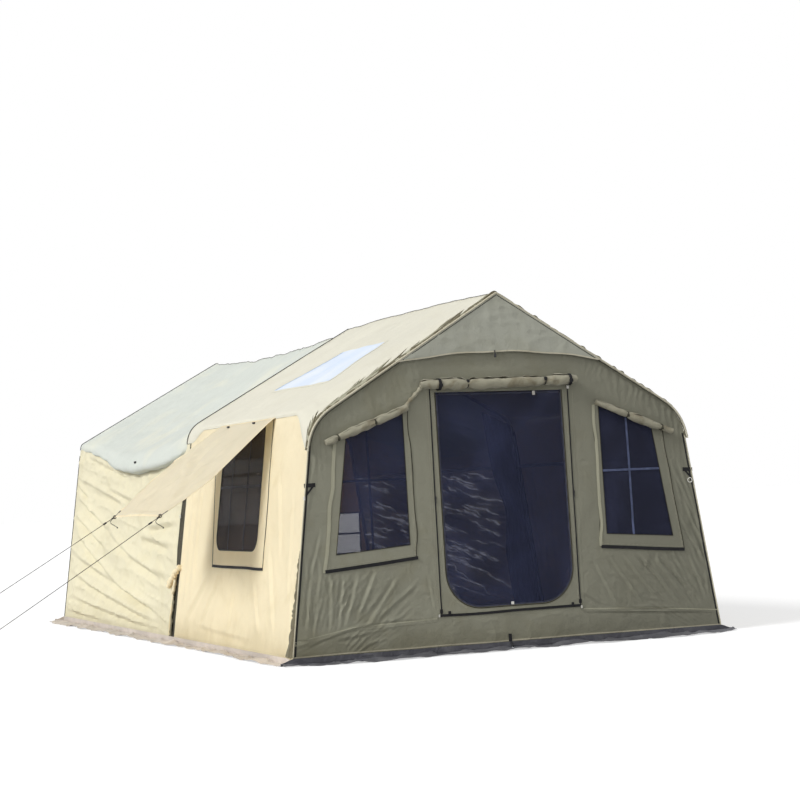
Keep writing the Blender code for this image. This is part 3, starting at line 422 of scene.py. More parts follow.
def triangles(outline, holes, spacing):
    """Even triangles that fill an outline and leave its holes open: their corners and their faces."""
    shapes = [np.asarray(shape, float) for shape in (outline, *holes)]
    loops = [walk(shape, spacing, closed=True) for shape in shapes]
    edges, start = [], 0
    for loop in loops:
        edges += [(start + i, start + (i + 1) % len(loop)) for i in range(len(loop))]
        start += len(loop)
    low, high = loops[0].min(0), loops[0].max(0)
    rows = np.arange(low[1], high[1], spacing * 0.866)
    columns = np.arange(low[0], high[0] + spacing, spacing)
    u = (columns[None, :] + np.where(np.arange(len(rows)) % 2, spacing / 2, 0)[:, None]).ravel()
    v = np.repeat(rows, len(columns))
    keep = inside(u, v, shapes[0])
    for shape in shapes[1:]:
        keep &= ~inside(u, v, shape)
    u, v = u[keep], v[keep]
    for shape in shapes:
        clear = edge_distance(u, v, shape) > spacing * 0.45
        u, v = u[clear], v[clear]
    corners = np.vstack([*loops, np.stack([u, v], 1)])
    made = delaunay_2d_cdt([Vector(p) for p in corners.tolist()], edges, [], 1, 1e-6)
    cut, faces = np.array([tuple(p) for p in made[0]]), np.array([tuple(f) for f in made[2]], int)
    middle = cut[faces].mean(1)
    for shape in shapes[1:]:
        solid = ~inside(middle[:, 0], middle[:, 1], shape)
        faces, middle = faces[solid], middle[solid]
    used, places = np.unique(faces, return_inverse=True)
    return cut[used], places.reshape(-1, 3)


def cut_area(cut, faces):
    a, b = cut[faces[:, 1]] - cut[faces[:, 0]], cut[faces[:, 2]] - cut[faces[:, 0]]
    return float(np.abs(a[:, 0] * b[:, 1] - a[:, 1] * b[:, 0]).sum() / 2)


def panel(name, cloth, outline, holes, spacing, finish, body="tent", slot=None, thick=CLOTH, out=0.0):
    """A cloth panel cut to an outline, and the area of its cut."""
    cut, faces = triangles(outline, holes, spacing)
    outer, inner = cloth.at(cut, out), cloth.at(cut, out - thick)
    facing = np.cross(outer[faces[:, 1]] - outer[faces[:, 0]], outer[faces[:, 2]] - outer[faces[:, 0]])
    if (facing * (outer - inner)[faces[:, 0]]).sum() < 0:
        faces = faces[:, ::-1]
    points, sides = closed_cloth(outer, inner, faces)
    piece = make_piece(name, points, sides, np.vstack([cut, cut]), finish, body)
    return piece, cut_area(cut, faces)


def grid_faces(rows, columns):
    i, j = np.meshgrid(np.arange(rows - 1), np.arange(columns - 1), indexing="ij")
    first = (i * columns + j).ravel()
    return np.stack([first, first + 1, first + columns + 1, first + columns], 1)


def grid_piece(name, outer, inner, uv, finish, body="tent"):
    """A closed cloth through a grid of points, with its inner side given."""
    rows, columns = outer.shape[:2]
    faces = grid_faces(rows, columns)
    outer, inner = outer.reshape(-1, 3), inner.reshape(-1, 3)
    facing = np.cross(outer[faces[:, 1]] - outer[faces[:, 0]], outer[faces[:, 3]] - outer[faces[:, 0]])
    if (facing * (outer - inner)[faces[:, 0]]).sum() < 0:
        faces = faces[:, ::-1]
    points, sides = closed_cloth(outer, inner, faces)
    uv = uv.reshape(-1, 2)
    return make_piece(name, points, sides, np.vstack([uv, uv]), finish, body)


BLOCK_ROUNDING = 0.3


class Pile:
    """Tapes, cords and blocks that are sewn together and become one piece."""

    def __init__(self):
        self.points, self.faces, self.uv, self.count = [], [], [], 0

    def add(self, points, faces, uv):
        self.points.append(np.asarray(points, float))
        self.uv.append(np.asarray(uv, float))
        self.faces += [tuple(i + self.count for i in face) for face in faces]
        self.count += len(points)
        return self

    def loft(self, rings, closed=False):
        """A closed body through equal rings, capped at both ends or joined end to end."""
        rings = np.asarray(rings, float)
        count, sides = rings.shape[:2]
        faces = []
        for i in range(count if closed else count - 1):
            a, b = i * sides, (i + 1) % count * sides
            faces += [(a + j, a + (j + 1) % sides, b + (j + 1) % sides, b + j) for j in range(sides)]
        if not closed:
            faces += [tuple(range(sides)), tuple(range((count - 1) * sides, count * sides))]
        middle = rings.mean(1)
        along = np.concatenate([[0], np.cumsum(np.linalg.norm(np.diff(middle, axis=0), axis=1))])
        around = np.linalg.norm(rings[0] - np.roll(rings[0], 1, axis=0), axis=1)
        around[0] = 0
        uv = np.stack([np.repeat(along, sides), np.tile(np.cumsum(around), count)], 1)
        return self.add(rings.reshape(-1, 3), faces, uv)

    def ribbon(self, cloth, path, width, thick=TAPE, out=NEAR, columns=3, sway=None, closed=False):
        """A flat tape along a path on a cloth. sway moves it sideways by a height over its length."""
        path = walk(path, 0.016, closed)
        around = np.vstack([path[-1:], path, path[:1]]) if closed else path
        run = unit(np.gradient(around, axis=0))[1:-1] if closed else unit(np.gradient(path, axis=0))
        side = np.stack([-run[:, 1], run[:, 0]], 1)
        if sway is not None:
            along = np.concatenate([[0], np.cumsum(np.linalg.norm(np.diff(path, axis=0), axis=1))])
            path = path + side * sway(along)[:, None]
        widths = np.linspace(-0.5, 0.5, columns) * width
        top = [cloth.at(path + side * w, out + thick) for w in widths]
        bottom = [cloth.at(path + side * w, out) for w in widths[::-1]]
        return self.loft(np.stack(top + bottom, 1), closed)

    def cord(self, cloth, path, radius, out=0.0):
        """A round cord that lies along a path on a cloth."""
        path = walk(path, 0.014)
        centre = cloth.at(path, out + radius)
        return self.tube(centre, radius, cloth.at(path, out + radius + 0.01) - centre)

    def tube(self, centre, radius, up=(0, 0, 1), sides=8):
        """A round bar through points, its radius one number or one for each point."""
        centre = np.asarray(centre, float)
        run = unit(np.gradient(centre, axis=0))
        up = np.broadcast_to(np.asarray(up, float), centre.shape)
        across = unit(np.cross(up, run))
        high = np.cross(run, across)
        angles = np.arange(sides) * 2 * math.pi / sides
        size = np.broadcast_to(np.asarray(radius, float), len(centre))[:, None, None]
        ring = across[:, None] * np.cos(angles)[None, :, None] + high[:, None] * np.sin(angles)[None, :, None]
        return self.loft(centre[:, None] + ring * size)

    def block(self, centre, size):
        """A small block with rounded corners: a squared-off ball of the given full sizes."""
        rings = []
        for a in np.linspace(-0.5, 0.5, 7) * math.pi * 0.98:
            ring = []
            for b in np.arange(16) * math.pi / 8:
                ball = np.array([math.cos(a) * math.cos(b), math.cos(a) * math.sin(b), math.sin(a)])
                ball = np.sign(ball) * np.abs(ball) ** BLOCK_ROUNDING
                ring.append(np.asarray(centre) + ball * np.array(size) / 2)
            rings.append(ring)
        return self.loft(rings)

    def piece(self, name, finish, body="tent", slot=None):
        return make_piece(
            name, np.vstack(self.points), self.faces, np.vstack(self.uv), finish, body, turn_out=True
        )


# Materials


class Value:
    """A number in a material's tree. Arithmetic on it adds the Math nodes."""

    def __init__(self, finish, socket):
        self.finish, self.socket = finish, socket

    def math(self, operation, *others, clamp=False):
        values = {i: v for i, v in enumerate(others)}
        return self.finish.node("ShaderNodeMath", values, operation=operation, use_clamp=clamp)

    def __add__(self, other):
        return self.math("ADD", self, other)

    def __sub__(self, other):
        return self.math("SUBTRACT", self, other)

    def __rsub__(self, other):
        return self.math("SUBTRACT", other, self)

    def __mul__(self, other):
        return self.math("MULTIPLY", self, other)

    def __truediv__(self, other):
        return self.math("DIVIDE", self, other)

    def __pow__(self, other):
        return self.math("POWER", self, other)

    __radd__, __rmul__ = __add__, __mul__

    def sine(self):
        return self.math("SINE", self)

    def absolute(self):
        return self.math("ABSOLUTE", self)

    def clamped(self):
        return self.math("ADD", self, 0.0, clamp=True)

    def over(self, low, high):
        """0 below low, 1 above high, smooth between them; the other way round when high is the lower."""
        values = {"Value": self, "From Min": low, "From Max": high}
        return self.finish.node("ShaderNodeMapRange", values, interpolation_type="SMOOTHSTEP")


class Finish:
    """A material being made: a Principled shader and what feeds it."""

    def __init__(self, name, roughness, metallic=0.0, **shader):
        self.material = bpy.data.materials.new(name)
        self.material.use_nodes = True
        self.tree = self.material.node_tree
        self.shader = self.tree.nodes["Principled BSDF"]
        self.shader.inputs["Roughness"].default_value = roughness
        self.shader.inputs["Metallic"].default_value = metallic
        for key, value in shader.items():
            self.shader.inputs[key.replace("_", " ")].default_value = value

    def node(self, kind, values=None, output=0, **settings):
        made = self.tree.nodes.new(kind)
        for key, value in settings.items():
            setattr(made, key, value)
        for key, value in (values or {}).items():
            self.feed(made.inputs[key], value)
        return Value(self, made.outputs[output])

    def feed(self, socket, value):
        if isinstance(value, Value):
            self.tree.links.new(value.socket, socket)
        else:
            socket.default_value = value

    def cut(self):
        """The piece's own coordinates, in metres."""
        return self.node("ShaderNodeUVMap", uv_map="cut")

    def place(self):
        return self.node("ShaderNodeTexCoord", output="Object")

    def parts(self, vector):
        made = self.tree.nodes.new("ShaderNodeSeparateXYZ")
        self.tree.links.new(vector.socket, made.inputs[0])
        return [Value(self, output) for output in made.outputs]

    def noise(self, vector, scale, detail=3.0, distortion=0.0, stretch=None):
        if stretch is not None:
            vector = self.node("ShaderNodeVectorMath", {0: vector, 1: stretch}, operation="MULTIPLY")
        values = {"Vector": vector, "Scale": scale, "Detail": detail, "Distortion": distortion}
        return self.node("ShaderNodeTexNoise", values)

    def mix(self, factor, first, second):
        values = {0: factor, 6: (*first, 1) if isinstance(first, tuple) else first,
                  7: (*second, 1) if isinstance(second, tuple) else second}
        return self.node("ShaderNodeMix", values, output=2, data_type="RGBA")

    def bump(self, height, distance, strength=1.0, normal=None):
        values = {"Height": height, "Distance": distance, "Strength": strength}
        if normal is not None:
            values["Normal"] = normal
        return self.node("ShaderNodeBump", values)

    def colour(self, value):
        self.feed(self.shader.inputs["Base Color"], (*value, 1) if isinstance(value, tuple) else value)

    def glow_through(self, share, colour):
        """Lets some light through the cloth, in its own constant colour."""
        tree = self.tree
        out = tree.nodes["Material Output"]
        through = tree.nodes.new("ShaderNodeBsdfTranslucent")
        through.inputs["Color"].default_value = (*colour, 1)
        blend = tree.nodes.new("ShaderNodeMixShader")
        blend.inputs[0].default_value = share
        tree.links.new(self.shader.outputs[0], blend.inputs[1])
        tree.links.new(through.outputs[0], blend.inputs[2])
        tree.links.new(blend.outputs[0], out.inputs["Surface"])


def srgb(*levels):
    """A colour from 0 to 255 levels as the light it gives back."""
    return tuple((c / 255 / 12.92) if c <= 10 else ((c / 255 + 0.055) / 1.055) ** 2.4 for c in levels)


def shade(colour, amount):
    return tuple(min(c * amount, 1.0) for c in colour)


def canvas(name, colour, patch_colour, through, roughness=0.86, dirt=0.5, share=0.07, patchiness=0.22, patch=3.2, right_shade=0.0):
    """Cotton canvas: plain weave, thick threads, broad fading, patches of a second colour, crinkles, dirt near
    the ground, and painted shade towards +x where asked.
    """
    finish = Finish(name, roughness, Specular_IOR_Level=0.25, Sheen_Weight=0.12, Sheen_Roughness=0.5)
    cut, place = finish.cut(), finish.place()
    u, v, _ = finish.parts(cut)
    x, _, z = finish.parts(place)
    broad = finish.noise(place, 0.9, 3.0, 0.4)
    mottle = finish.noise(place, 7.0, 4.0, 0.3)
    warp = finish.noise(cut, 1.0, 2.0, stretch=(260.0, 9.0, 1.0))
    weft = finish.noise(cut, 1.0, 2.0, stretch=(9.0, 260.0, 1.0))
    threads = (u * 2100).sine() * (v * 2100).sine()
    tone = (broad * 0.55 + mottle * 0.25 + (warp + weft) * 0.16).over(0.25, 0.80)
    cloth = finish.mix(tone, shade(colour, 0.93), shade(colour, 1.06))
    # Random patches of a second colour: stains and worn places on most canvases, a painted sheen on the grey
    # roof, and painted shade on the rolled and gathered canvases.
    patches = finish.noise(place, patch, 5.0, 0.8).over(0.48, 0.70)
    cloth = finish.mix(patches * patchiness, cloth, patch_colour)
    splash = (z + finish.noise(place, 5.0, 4.0, 0.5) * 0.35).over(0.50, 0.16) * dirt
    cloth = finish.mix(splash, cloth, shade(patch_colour, 0.72))
    # Painted shade: darker towards +x, the side of the front wall that gets less light.
    if right_shade:
        cloth = finish.mix(x.over(-0.5, 1.5) * right_shade, cloth, shade(colour, 0.70))
    finish.colour(finish.mix((threads * 0.5 + 0.5) * 0.12, cloth, shade(colour, 0.6)))
    crinkle = finish.noise(place, 16.0, 5.0, 0.9)
    normal = finish.bump(crinkle, 0.012, 0.45)
    normal = finish.bump(warp + weft, 0.0012, 0.5, normal)
    finish.feed(finish.shader.inputs["Normal"], finish.bump(threads, 0.0004, 0.5, normal))
    finish.glow_through(share, through)
    return finish.material


def netting(name, colour, density):
    """Fine insect mesh, seen as a dark veil with its threads showing from close by."""
    finish = Finish(name, 0.75, Specular_IOR_Level=0.2)
    u, v, _ = finish.parts(finish.cut())
    grid = (u * 3600).sine().absolute() * 0.5 + (v * 3600).sine().absolute() * 0.5
    veil = finish.noise(finish.place(), 2.2, 4.0, 0.6)
    finish.colour(finish.mix(veil.over(0.35, 0.7), shade(colour, 0.8), shade(colour, 1.35)))
    finish.feed(finish.shader.inputs["Alpha"], (density + 0.18 * (1 - grid)).clamped())
    slack = finish.noise(finish.place(), 9.0, 3.0)
    finish.feed(finish.shader.inputs["Normal"], finish.bump(slack, 0.01, 0.3))
    return finish.material


def glowing(name, colour, strength):
    """Cloth that daylight comes through, as it looks from the dark side."""
    finish = Finish(name, 0.9, Specular_IOR_Level=0.1, Emission_Strength=strength)
    patchy = finish.noise(finish.place(), 9.0, 3.0, 0.4).over(0.30, 0.70)
    finish.colour(shade(colour, 0.5))
    finish.feed(finish.shader.inputs["Emission Color"], finish.mix(patchy, shade(colour, 0.25), colour))
    return finish.material


def webbing(name, colour, roughness=0.7, ribs=1800):
    """Woven tape with ribs across its length."""
    finish = Finish(name, roughness, Specular_IOR_Level=0.3)
    u, v, _ = finish.parts(finish.cut())
    rib = (u * ribs).sine() * 0.5 + (v * ribs * 0.8).sine() * 0.3
    patchiness = finish.noise(finish.place(), 24.0, 4.0, 0.4).over(0.35, 0.72)
    finish.colour(finish.mix(patchiness, shade(colour, 0.75), shade(colour, 1.35)))
    finish.feed(finish.shader.inputs["Normal"], finish.bump(rib, 0.0005, 0.6))
    return finish.material


def moulded(name, colour, roughness=0.45):
    """Moulded plastic with a fine grain and scuffs."""
    finish = Finish(name, roughness)
    place = finish.place()
    scuffs = finish.noise(place, 90.0, 4.0, 0.6)
    finish.colour(finish.mix(scuffs.over(0.5, 0.8), colour, tuple(min(c * 1.3 + 0.02, 1.0) for c in colour)))
    finish.feed(finish.shader.inputs["Roughness"], roughness + scuffs * 0.2)
    finish.feed(finish.shader.inputs["Normal"], finish.bump(finish.noise(place, 900.0, 2.0), 0.0002, 0.4))
    return finish.material


def zinc_steel(name):
    """Galvanised tube: cloudy zinc with dull patches and fine drawn lines."""
    finish = Finish(name, 0.40, 0.92)
    place = finish.place()
    cloud = finish.noise(place, 38.0, 4.0, 0.8)
    dull = finish.noise(place, 6.0, 5.0, 0.5).over(0.5, 0.75)
    zinc = finish.mix(cloud.over(0.3, 0.7), srgb(150, 153, 156), srgb(186, 189, 192))
    finish.colour(finish.mix(dull * 0.5, zinc, srgb(120, 118, 112)))
    finish.feed(finish.shader.inputs["Roughness"], 0.34 + cloud * 0.14 + dull * 0.18)
    finish.feed(finish.shader.inputs["Normal"], finish.bump(finish.noise(place, 210.0, 3.0), 0.0003, 0.35))
    return finish.material


def coated(name, colour, roughness, check=260.0):
    """Coated sheet with a faint check of thicker threads, creases and dust."""
    finish = Finish(name, roughness, Specular_IOR_Level=0.4)
    u, v, _ = finish.parts(finish.cut())
    place = finish.place()
    lines = (u * check).sine().absolute() ** 8.0 + (v * check).sine().absolute() ** 8.0
    dust = finish.noise(place, 4.5, 5.0, 0.7).over(0.42, 0.75)
    base = finish.mix(finish.noise(place, 1.6, 3.0).over(0.3, 0.7), shade(colour, 0.85), shade(colour, 1.15))
    dusty = tuple(c * 0.55 + 0.16 for c in colour)
    finish.colour(finish.mix(dust * 0.55, base, dusty))
    normal = finish.bump(finish.noise(place, 11.0, 5.0, 1.2), 0.02, 0.6)
    finish.feed(finish.shader.inputs["Normal"], finish.bump(lines, 0.0004, 0.4, normal))
    finish.feed(finish.shader.inputs["Roughness"], roughness + dust * 0.25)
    return finish.material


def window_film(name):
    """Clear sheet over pale cloth: glossy and a little wavy, its pale blue colour a painted reflection of the
    sky.
    """
    finish = Finish(name, 0.28, Coat_Weight=0.2, Coat_Roughness=0.2, Specular_IOR_Level=0.4)
    place = finish.place()
    wave = finish.noise(place, 5.0, 3.0, 0.6)
    reflection_patches = finish.noise(place, 1.8, 3.0, 0.3).over(0.30, 0.72)
    finish.colour(finish.mix(reflection_patches, srgb(188, 205, 228), srgb(210, 219, 228)))
    finish.feed(finish.shader.inputs["Roughness"], 0.24 + wave * 0.16)
    finish.feed(finish.shader.inputs["Normal"], finish.bump(wave, 0.012, 0.5))
    return finish.material


def rope_finish(name, colour):
    """Twisted guy line."""
    finish = Finish(name, 0.75, Specular_IOR_Level=0.3)
    u, v, _ = finish.parts(finish.cut())
    lay = (u * 900 + v * 800).sine()
    finish.colour(finish.mix(lay * 0.5 + 0.5, shade(colour, 0.6), shade(colour, 1.5)))
    finish.feed(finish.shader.inputs["Normal"], finish.bump(lay, 0.0008, 0.8))
    return finish.material


# Canvas: its colour, the colour of its patches and its dirt, and the colour of light through it. The patches
# are stains and worn places unless a comment says they are painted light.
# Olive canvas of the front wall, with painted shade towards +x.
olive = canvas("olive canvas", srgb(151, 150, 133), srgb(128, 122, 92), srgb(170, 160, 110), right_shade=0.85)
# Very dark olive: painted shade, for cloth seen in the dark of the slit and behind it.
dark_canvas = canvas(
    "shaded olive canvas", srgb(58, 54, 38), srgb(40, 38, 28), srgb(60, 56, 40), share=0.02
)
# Paler olive: painted highlight, for lit edges at the front windows and seams and lit pleats on the roof's
# front edge.
lit_olive = canvas("lit olive canvas", srgb(178, 176, 154), srgb(150, 146, 120), srgb(184, 178, 144))
# Canvas of the rolled flaps: painted lighter than the olive wall for the light on their tops, with random
# darker patches of painted shade.
lit_rolled_canvas = canvas(
    "lit rolled olive canvas", srgb(166, 162, 142), srgb(122, 112, 88), srgb(176, 166, 120),
    dirt=0.0, patchiness=0.7, patch=8.0,
)
# Darker olive with darker patches: painted shade in bunched cloth, for the roof's front gathers, the corner
# gussets and the slit ruffles.
shaded_gathered_canvas = canvas(
    "shaded gathered canvas", srgb(120, 114, 92), srgb(76, 66, 48), srgb(128, 118, 84), dirt=0.0, patchiness=0.6
)
cream = canvas("cream canvas", srgb(249, 239, 206), srgb(214, 198, 150), srgb(255, 226, 186), share=0.22)
awning_canvas = canvas(
    "awning canvas", srgb(231, 225, 205), srgb(204, 196, 170), srgb(250, 238, 206), dirt=0.0, share=0.34
)
cream_rear = canvas(
    "rear cream canvas", srgb(226, 219, 190), srgb(208, 198, 160), srgb(250, 230, 180), share=0.06
)
# Cream canvas of the right front-room wall: painted a little darker, as painted shade, and letting less light
# through so that its inside stays dark.
cream_shaded = canvas(
    "shaded cream canvas", srgb(236, 226, 194), srgb(214, 198, 150), srgb(255, 226, 186), share=0.04
)
lit_cloth = glowing("light through thin cloth", srgb(172, 172, 182), 0.85)
gable = canvas("gable canvas", srgb(178, 179, 166), srgb(160, 158, 136), srgb(200, 196, 160), dirt=0.0)
beige = canvas(
    "beige roof canvas", srgb(222, 219, 203), srgb(198, 190, 160), srgb(240, 226, 180), dirt=0.0, patchiness=0.10
)
# Grey roof canvas: glossier, and its lighter, warmer patches are a painted sheen.
grey = canvas(
    "grey roof canvas", srgb(208, 213, 205), srgb(232, 230, 208), srgb(220, 220, 200),
    roughness=0.62, dirt=0.0, patchiness=0.46, patch=1.3,
)
piping_white = canvas(
    "pale piping", srgb(206, 200, 178), srgb(170, 160, 130), srgb(220, 210, 180), share=0.05
)
net = netting("dark insect mesh", srgb(48, 53, 78), 0.48)
vent_net = netting("pale vent mesh", srgb(172, 156, 148), 0.15)
dense_net = netting("doubled insect mesh", srgb(36, 39, 58), 0.80)
side_net = netting("side insect mesh", srgb(66, 62, 66), 0.64)
black_tape = webbing("black webbing", srgb(26, 26, 28))
dark_tape = webbing("dark olive zip tape", srgb(62, 60, 48))
blue_tape = webbing("pale blue webbing", srgb(112, 118, 146))
window_tape = webbing("window webbing", srgb(78, 86, 114))
shaded_tape = webbing("dark blue webbing", srgb(58, 60, 74))
white_tape = webbing("white tape", srgb(214, 212, 204))
blue_line = webbing("blue edge tape", srgb(120, 160, 205))
black_plastic = moulded("black plastic", srgb(24, 24, 26))
white_plastic = moulded("white plastic", srgb(226, 224, 216))
black_metal = moulded("black painted metal", srgb(30, 30, 32), 0.35)
steel = zinc_steel("galvanised steel tube")
film = window_film("clear window sheet")
mud_grey = coated("grey mud flap", srgb(84, 84, 90), 0.5)
mud_pale = coated("pale mud flap", srgb(196, 186, 176), 0.55)
floor_sheet = coated("groundsheet", srgb(104, 108, 98), 0.5)
rope_dark = rope_finish("dark guy rope", srgb(58, 54, 50))


# Small parts set along a seam, made with Geometry Nodes


def seam_tree():
    """Lays one small rounded bead after another along the edges that it is given."""
    tree = bpy.data.node_groups.new("beads along a seam", "GeometryNodeTree")
    face = tree.interface
    face.new_socket("Seam", in_out="INPUT", socket_type="NodeSocketGeometry")
    face.new_socket("Spacing", in_out="INPUT", socket_type="NodeSocketFloat")
    face.new_socket("Size", in_out="INPUT", socket_type="NodeSocketVector")
    face.new_socket("Finish", in_out="INPUT", socket_type="NodeSocketMaterial")
    face.new_socket("Beads", in_out="OUTPUT", socket_type="NodeSocketGeometry")

    def add(kind, values=None, **settings):
        made = tree.nodes.new(kind)
        for key, value in settings.items():
            setattr(made, key, value)
        for key, value in (values or {}).items():
            if isinstance(value, bpy.types.NodeSocket):
                tree.links.new(value, made.inputs[key])
            else:
                made.inputs[key].default_value = value
        return made.outputs

    given = add("NodeGroupInput")
    line = add("GeometryNodeMeshToCurve", {"Mesh": given["Seam"]})
    spots = add(
        "GeometryNodeCurveToPoints", {"Curve": line["Curve"], "Length": given["Spacing"]}, mode="LENGTH"
    )
    bead = add("GeometryNodeMeshUVSphere", {"Segments": 6, "Rings": 4, "Radius": 0.5})
    placing = {"Points": spots["Points"], "Rotation": spots["Rotation"], "Scale": given["Size"]}
    laid = add("GeometryNodeInstanceOnPoints", {"Instance": bead["Mesh"], **placing})
    solid = add("GeometryNodeRealizeInstances", {"Geometry": laid["Instances"]})
    coloured = add("GeometryNodeSetMaterial", {"Geometry": solid["Geometry"], "Material": given["Finish"]})
    add("NodeGroupOutput", {"Beads": coloured["Geometry"]})
    return tree


SEAM_TREE = seam_tree()


def beads(name, lines, spacing, size, finish, body="tent"):
    """Beads of the given width, height and length along several lines of world points, as one piece."""
    points, edges = [], []
    for line in lines:
        edges += [(len(points) + i, len(points) + i + 1) for i in range(len(line) - 1)]
        points += [tuple(p) for p in line]
    mesh = bpy.data.meshes.new(name)
    mesh.from_pydata(points, edges, [])
    guide = bpy.data.objects.new(name + "_line", mesh)
    bpy.context.scene.collection.objects.link(guide)
    change = guide.modifiers.new("beads", "NODES")
    change.node_group = SEAM_TREE
    given = {"Spacing": spacing, "Size": size, "Finish": finish}
    for item in SEAM_TREE.interface.items_tree:
        if item.name in given:
            change[item.identifier] = given[item.name]
    bpy.context.view_layer.update()
    made = bpy.data.meshes.new_from_object(guide.evaluated_get(bpy.context.evaluated_depsgraph_get()))
    bpy.data.objects.remove(guide, do_unlink=True)
    made.name = name
    if not made.materials:
        made.materials.append(finish)
    made.shade_smooth()
    piece = bpy.data.objects.new(name, made)
    bpy.context.scene.collection.objects.link(piece)
    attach(piece, body)


# Width, height and length of a stitch and a zip's tooth, and the steps between them
STITCH_SIZE, STITCH_STEP = (0.0016, 0.0012, 0.0075), 0.012
TOOTH_SIZE, TOOTH_STEP = (0.0062, 0.0026, 0.0030), 0.0045


# Camera


EYE = Vector((-6.5465, -17.045, 1.247))
YAW, PITCH, ROLL, LENS = 0.40115, 0.04812, -0.04533, 85.5


def add_camera():
    up = Vector((0, 0, 1))
    ahead = Vector((math.sin(YAW), math.cos(YAW), 0))
    right = Vector((math.cos(YAW), -math.sin(YAW), 0))
    forward = ahead * math.cos(PITCH) + up * math.sin(PITCH)
    raised = up * math.cos(PITCH) - ahead * math.sin(PITCH)
    across = right * math.cos(ROLL) + raised * math.sin(ROLL)
    above = raised * math.cos(ROLL) - right * math.sin(ROLL)
    lens = bpy.data.cameras.new("photo_camera")
    lens.lens, lens.sensor_width, lens.clip_end = LENS, 36.0, 300.0
    camera = bpy.data.objects.new("photo_camera", lens)
    camera.matrix_world = Matrix.Translation(EYE) @ Matrix((across, above, -forward)).transposed().to_4x4()
    bpy.context.scene.collection.objects.link(camera)
    bpy.context.scene.camera = camera


add_camera()


# Guy ropes


def guy_route(corner_y, reach):
    """Points from the flap's corner down to the peg, on a slight sag."""
    down = np.array([-math.cos(AWNING_DROP), 0, -math.sin(AWNING_DROP)])
    hinge = np.array([-wall_x(AWNING_HINGE_Z) - AWNING_HINGE_GAP, corner_y, AWNING_HINGE_Z])
    corner = hinge + down * AWNING_LENGTH
    start = corner + down * 0.0008
    end = np.array([corner[0] - reach + PEG_SIDE, corner_y, PEG_TIE])
    t = np.linspace(0, 1, ROPE_POINTS)[:, None]
    return lerp(start, end, t) - np.array([0, 0, ROPE_SAG * 4]) * t * (1 - t)


def helix(centre, axis, radius, length, turns, per_turn=12):
    """Points of a coil round an axis that starts at a centre."""
    axis = unit(axis)
    across = unit(np.cross(axis, [0.2, 1.0, 0.1]))
    other = np.cross(axis, across)
    t = np.linspace(0, 1, int(turns * per_turn) + 1)[:, None]
    angle = t * turns * 2 * math.pi
    return np.asarray(centre) + axis * t * length + (across * np.cos(angle) + other * np.sin(angle)) * radius


def make_guy(label, corner_y):
    route = guy_route(corner_y, PEG_REACH[label])
    rope = Pile().tube(route, ROPE_RADIUS).piece(f"rope_of_awning_{label}", rope_dark, None, "rope")
    run = unit(route[1] - route[0])
    knot = Pile()
    wrap = helix(route[0] + run * 0.004, run, ROPE_RADIUS * 2.0, 0.022, 4)
    knot.tube(wrap, ROPE_RADIUS)
    knot.tube(helix(route[0] - run * 0.010, run, 0.010, 0.012, 1), 0.0022)
    down = np.linspace(0, 1, 12)[:, None]
    tail = wrap[-1] + np.array([0.018, -0.010, -0.070]) * down
    tail = tail + np.array([-0.022, 0, 0]) * np.sin(down * 4.5)
    knot.tube(tail, ROPE_RADIUS)
    knot.block(tail[-1], (0.009, 0.009, 0.012))
    knot = knot.piece(f"guy_knot_{label}", rope_dark, "awning", "rope")
    peg = route[-1] - np.array([PEG_SIDE, 0, 0])
    loop = helix(peg - np.array([0, 0, 0.008]), (0, 0, 1), PEG_RADIUS + ROPE_RADIUS, 0.014, 3)
    loop = Pile().tube(loop, ROPE_RADIUS).piece(f"guy_loop_{label}", rope_dark, "tent", "rope")
    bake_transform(rope)
    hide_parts(f"guy_rope_{label}")


make_guy("near", Y_FRONT + AWNING_START + ROPE_PAST_HEM)
make_guy("far", Y_FRONT + AWNING_END - ROPE_PAST_HEM)


# Sheet panels, stitches and openings


def sheet_panel(name, cloth, outline, holes, spacing, finish, held, rests_on, **options):
    """A panel that is one sheet of cloth, made in place of the model's parts that it replaces."""
    replaces = options.pop("replaces", (name,))
    trims = options.pop("trims", ())
    piece, area = panel(name + "_cloth", cloth, outline, holes, spacing, finish, **options)
    low, high = np.min(outline, axis=0), np.max(outline, axis=0)
    size = high - low
    area = min(area, size[0] * size[1])
    if replaces:
        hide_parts(*replaces)


def border_stitches(cloth, border):
    """Two rows of stitches inside the edge of a sewn-on border."""
    border = np.array(border)
    rows = [border + unit(border.mean(0) - border) * inset * 1.4 for inset in (0.010, 0.022)]
    return [cloth.at(walk(row, 0.02, closed=True), ON_SEAM) for row in rows]


def rail_clearance(z):
    """How far a wall's folds may go inwards at a height, so that they stay clear of the side rail."""
    return 0.003 + 0.3 * np.maximum(np.abs(z - RAIL_HEIGHT) - 0.03, 0)


def rounded_opening(left, right, foot, top, corner, steps):
    """An opening with rounded lower corners, from its top left corner down and round to its top right."""
    points = [(left, top)]
    for middle, start in ((left + corner, math.pi), (right - corner, 1.5 * math.pi)):
        for i in range(steps + 1):
            angle = start + i / steps * math.pi / 2
            points.append((middle + corner * math.cos(angle), foot + corner + corner * math.sin(angle)))
    return points + [(right, top)]


# Front wall


def both(side, points):
    return [(side * x, z) for x, z in points]


def front_window(side, lap):
    return both(side, [
        (WINDOW_INNER_X - lap, WINDOW_INNER_TOP + lap),
        (WINDOW_OUTER_TOP_X + lap, WINDOW_OUTER_TOP + lap),
        (WINDOW_OUTER_FOOT_X + lap, WINDOW_OUTER_FOOT - lap),
        (WINDOW_INNER_X - lap, WINDOW_INNER_FOOT - lap),
    ])


def window_border(side):
    """Outer edge of the patch round a front window."""
    return both(side, [(0.806, 1.905), (1.420, 1.690), (1.556, 0.676), (0.796, 0.738)])


